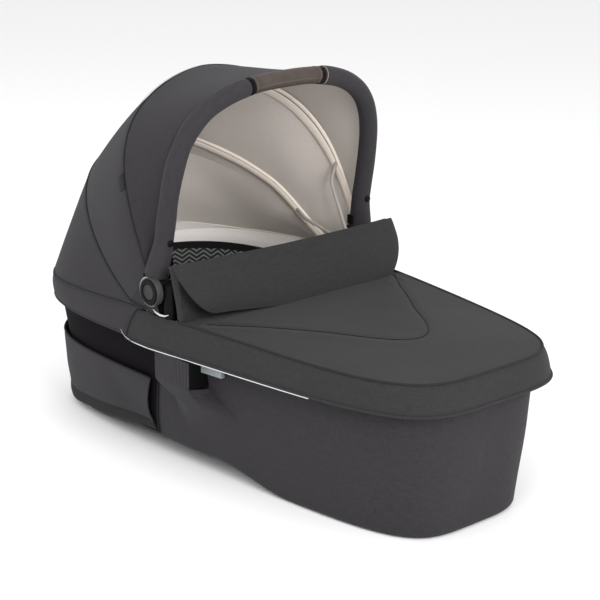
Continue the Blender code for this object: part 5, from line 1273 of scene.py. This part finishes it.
def make_tag():
    """A small blank woven label sewn into the front seam on the left."""
    place, length, width = 68, 0.020, 0.022
    line = front_arc(0.0, 0.024, 401)
    centre = line[place]
    along = unit(line[place + 1] - line[place - 1])
    back = rear_arc(0.0, 0.022, 401)[place] - centre
    back = unit(back - along * np.dot(back, along))
    away = np.cross(back, along)
    away *= -np.sign(away[1])
    rows = []
    for step in np.linspace(0.0, 1.0, 6):
        middle = centre + back * (0.001 + length * step) + away * (0.0012 + 0.0010 * math.sin(math.pi * step))
        rows.append(middle + np.outer(np.linspace(-0.5, 0.5, 6), along * width))
    on_body(cloth("blank_tag", rows, 0.0009, [DARK_TAPE], HOOD_CENTRE), "front_rib", "binding", "sewn_tag")


# Section of the ring round a hub's face, as radius and reach from the middle plane
HUB_RING = (
    (0.0137, 0.2110), (0.0137, 0.2176), (0.0144, 0.2188), (0.0160, 0.2192), (0.0186, 0.2189),
    (0.0204, 0.2176), (0.0211, 0.2150), (0.0211, 0.2080), (0.0186, 0.2075),
)
HUB_SLIP = (
    (-0.0510, 0.2112, 0.2490), (-0.0440, 0.2116, 0.2462), (-0.0340, 0.2118, 0.2446),
    (-0.0240, 0.2114, 0.2452), (-0.0165, 0.2098, 0.2482),
)


def hub_circle(reach, radius, turns):
    """Points round the hub's axis at a reach from the middle plane."""
    return HUB + (0.0, reach, 0.0) + around((1.0, 0.0, 0.0), (0.0, 0.0, 1.0), turns) * radius


def make_hub_edges():
    """A ring round each hub's face, a pale crescent of painted highlight along the rim behind it, the post and
    the pale slip below.
    """
    arch, share = np.radians(np.linspace(98.0, 300.0, 60)), np.linspace(0.0, 1.0, 60)
    highlight_radii = 0.0005 + 0.0018 * smooth(share / 0.12) * (1.0 - share) ** 1.3
    post_radii = 0.0092 * np.array([0.9, 1.0, 1.0, 1.0, 1.0, 1.0, 1.0, 0.96, 0.82])
    slip_radii = 0.0004 + 0.0013 * np.sin(math.pi * np.linspace(0.0, 1.0, 20))
    for side, name in SIDES:
        rings = [hub_circle(side * reach, radius, full_turn(48)) for radius, reach in HUB_RING]
        ring = finish_mesh("hub_ring_" + name, *skin(rings, True), [HUB_GREY], crease=35.0)
        on_body(ring, "bow", "hub_plastic")
        post = [(-0.0262, side * 0.1985, z) for z in np.linspace(0.237, 0.289, 9)]
        on_body(tube("hub_post_" + name, post, post_radii, BLACK, 16), "tub", "black_plastic")
        # The pale tapered crescent along the housing's rim is a painted highlight.
        path = hub_circle(side * 0.2166, 0.0209, arch)
        on_body(tube("hub_highlight_" + name, path, highlight_radii, HUB_HIGHLIGHT, 8), "bow", "hub_plastic")
        path = resample(np.array(HUB_SLIP) * (1.0, side, 1.0), 20)
        on_body(tube("hub_slip_" + name, path, slip_radii, SILVER, 8), "tub", "aluminium")


# Inside of the tub


def make_liner():
    count, tape_start, tape_end = 120, 0.899, 0.964
    shares = np.concatenate([np.linspace(0.0, 0.898, 15), [0.9, 0.93, 0.963, 0.965, 1.0]])
    low = with_z(ring_of(tub_plan(LINER_LOW, -0.0075), count), LINER_LOW)
    high = with_z(ring_of(rim_plan(-RIM_R - 0.0006), count), LINER_TOP)
    rows = np.array([low + (high - low) * share for share in shares])
    belly = np.sin(math.pi * shares)[:, None]
    lift = 0.0012 * belly * (1.0 + ruffle(rows, 0.12, 91))
    rows -= outward(rows, TUB_CENTRE, True) * lift[..., None]
    picks = [2 if share > tape_end else 1 if share > tape_start else 0 for share in shares]
    liner = cloth("liner_wall", rows, 0.0014, [PATTERN, DARK_TAPE, PALE_LINING], TUB_CENTRE, True, picks)
    on_body(liner, "tub", "inner_fabric", "inner_liner")
    edge = with_z(ring_of(rim_plan(-RIM_R * 0.4), count), RIM_Z + 0.0022)
    on_body(tube("liner_roll", edge, 0.0052, DARK_TAPE, 10, True), "tub", "inner_fabric")


def mattress_ring(inset, share=1.0):
    """An outline of the mattress, drawn in by an inset and then shrunk to its middle."""
    ring = ring_of(tub_plan(0.034, MATTRESS_GAP - inset), 132)
    return MATTRESS_MIDDLE + (ring - MATTRESS_MIDDLE) * share


def make_mattress():
    """The pad: a crowned body with a piped edge and quilting across it."""
    low, high, crown, quilt_pitch, quilt_depth = MATTRESS_LOW, MATTRESS_TOP, 0.006, 0.075, 0.0035
    rings = [with_z(mattress_ring(0.010, share), low) for share in (0.96, 0.5, 0.04)]
    side = (
        (0.010, low), (0.003, low + 0.003), (0.0, low + 0.010), (0.0015, (low + high) / 2),
        (0.0, high - 0.008), (0.003, high - 0.002), (0.011, high),
    )
    rings += [with_z(mattress_ring(inset), z) for inset, z in side]
    for share in (0.93, 0.84, 0.72, 0.58, 0.44, 0.3, 0.16, 0.04):
        plan = mattress_ring(0.011, share)
        quilt = np.abs(np.sin(plan[:, 0] * math.pi / quilt_pitch)) ** 0.35 - 1.0
        rise = crown * (1.0 - share ** 2) + quilt_depth * quilt * (1.0 - share ** 6)
        rings.append(with_z(plan, high + rise))
    points, faces = skin(rings)
    lengths = points[:, :2] + points[:, 2:] * 0.5
    pad = finish_mesh("mattress_pad", points, faces, [PATTERN], None, lengths, 60.0)
    on_body(pad, "tub", "inner_fabric", "mattress")
    edge = with_z(mattress_ring(0.0015), high - 0.004)
    on_body(tube("mattress_piping", edge, 0.0016, DARK_TAPE, 8, True), "tub", "inner_fabric")


# Finish of the hard parts that show as they are

HARD_SINGLE = {
    "base_board": BOARD, "rim_frame": ALUMINIUM, "bow_tube": ALUMINIUM, "rib_front": STEEL, "rib_rear": STEEL,
}
HARD_PAIRS = {
    "adapter": BLACK, "lever_spring": STEEL, "hub_bracket": BLACK, "pivot_pin": STEEL, "grip_ring": BLACK,
    "hub_housing": BLACK, "button_spring": STEEL, "snap_stud": BLACK, "bow_clip": BLACK,
    "hub_button": BUTTON_GREY, "release_lever": LEVER_GREY,
}


def dress_hard_parts():
    hard = dict(HARD_SINGLE)
    for name, material in HARD_PAIRS.items():
        hard.update({name + "_left": material, name + "_right": material})
    for name, material in hard.items():
        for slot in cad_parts[name].material_slots:
            slot.material = material


# Floor, light and camera

LAMPS = (
    ("key", (1.4, -2.3, 2.4), 1.8, 30.0),
    ("fill", (-2.2, -1.6, 1.4), 2.0, 20.0),
    ("top", (-0.2, 0.3, 2.8), 2.2, 10.0),
    ("mouth", (2.6, -0.6, 1.45), 1.2, 62.0),
)
LAMP_AIM = Vector((0.0, 0.0, 0.25))
FLOOR_REACH, FLOOR_DROP = 14.0, 0.0005
VIEW_AIM, VIEW_DISTANCE = Vector((0.0258, 0.0, 0.2369)), 2.7477
VIEW_AZIMUTH, VIEW_ELEVATION = math.radians(48.594), math.radians(17.58)
PHOTO_WIDTH, FOCAL_PIXELS, SENSOR = 600.0, 1873.6, 36.0


def place_object(name, data, place, facing):
    """Links a lamp or camera that looks along facing."""
    thing = bpy.data.objects.new(name, data)
    thing.location = place
    thing.rotation_mode = "QUATERNION"
    thing.rotation_quaternion = facing.to_track_quat("-Z", "Y")
    bpy.context.scene.collection.objects.link(thing)
    return thing


def make_stage():
    material, bench = new_material("pale_floor")
    cloud = bench.add("TexNoise", Scale=3.0).outputs[0]
    colour = bench.mix(cloud, (0.86, 0.86, 0.86, 1.0), (0.9, 0.9, 0.9, 1.0))
    surface = bench.add("BsdfPrincipled", Base_Color=colour, Roughness=0.9)
    bench.add("OutputMaterial", Surface=surface.outputs[0])
    mesh = bpy.data.meshes.new("floor")
    corners = [(x * FLOOR_REACH, y * FLOOR_REACH, 0.0) for x, y in ((-1, -1), (1, -1), (1, 1), (-1, 1))]
    mesh.from_pydata(corners, [], [(0, 1, 2, 3)])
    mesh.materials.append(material)
    floor = bpy.data.objects.new("floor", mesh)
    floor.location.z = -FLOOR_DROP
    bpy.context.scene.collection.objects.link(floor)
    world = bpy.data.worlds.new("studio")
    world.use_nodes = True
    backdrop = world.node_tree.nodes["Background"]
    backdrop.inputs["Color"].default_value = (1.0, 1.0, 1.0, 1.0)
    backdrop.inputs["Strength"].default_value = 0.95
    bpy.context.scene.world = world
    for name, place, size, power in LAMPS:
        lamp = bpy.data.lights.new(name, "AREA")
        lamp.size = size
        lamp.energy = power
        place_object(name, lamp, place, LAMP_AIM - Vector(place))


def make_camera():
    data = bpy.data.cameras.new("camera")
    data.sensor_width = SENSOR
    data.lens = FOCAL_PIXELS / PHOTO_WIDTH * SENSOR
    data.clip_start = 0.05
    data.dof.use_dof = False
    level = math.cos(VIEW_ELEVATION)
    back = Vector((math.sin(VIEW_AZIMUTH) * level, -math.cos(VIEW_AZIMUTH) * level, math.sin(VIEW_ELEVATION)))
    bpy.context.scene.camera = place_object("camera", data, VIEW_AIM + back * VIEW_DISTANCE, -back)


make_tub()
make_wall_seams()
make_pillars()
make_vent()
make_skirt()
make_apron()
make_apron_wall()
make_wind_flap()
make_bow()
make_hood_covers()
make_hood_band()
make_lining()
make_tag()
make_hub_edges()
make_liner()
make_mattress()
dress_hard_parts()
make_stage()
make_camera()
bpy.context.scene.view_settings.view_transform = "Standard"
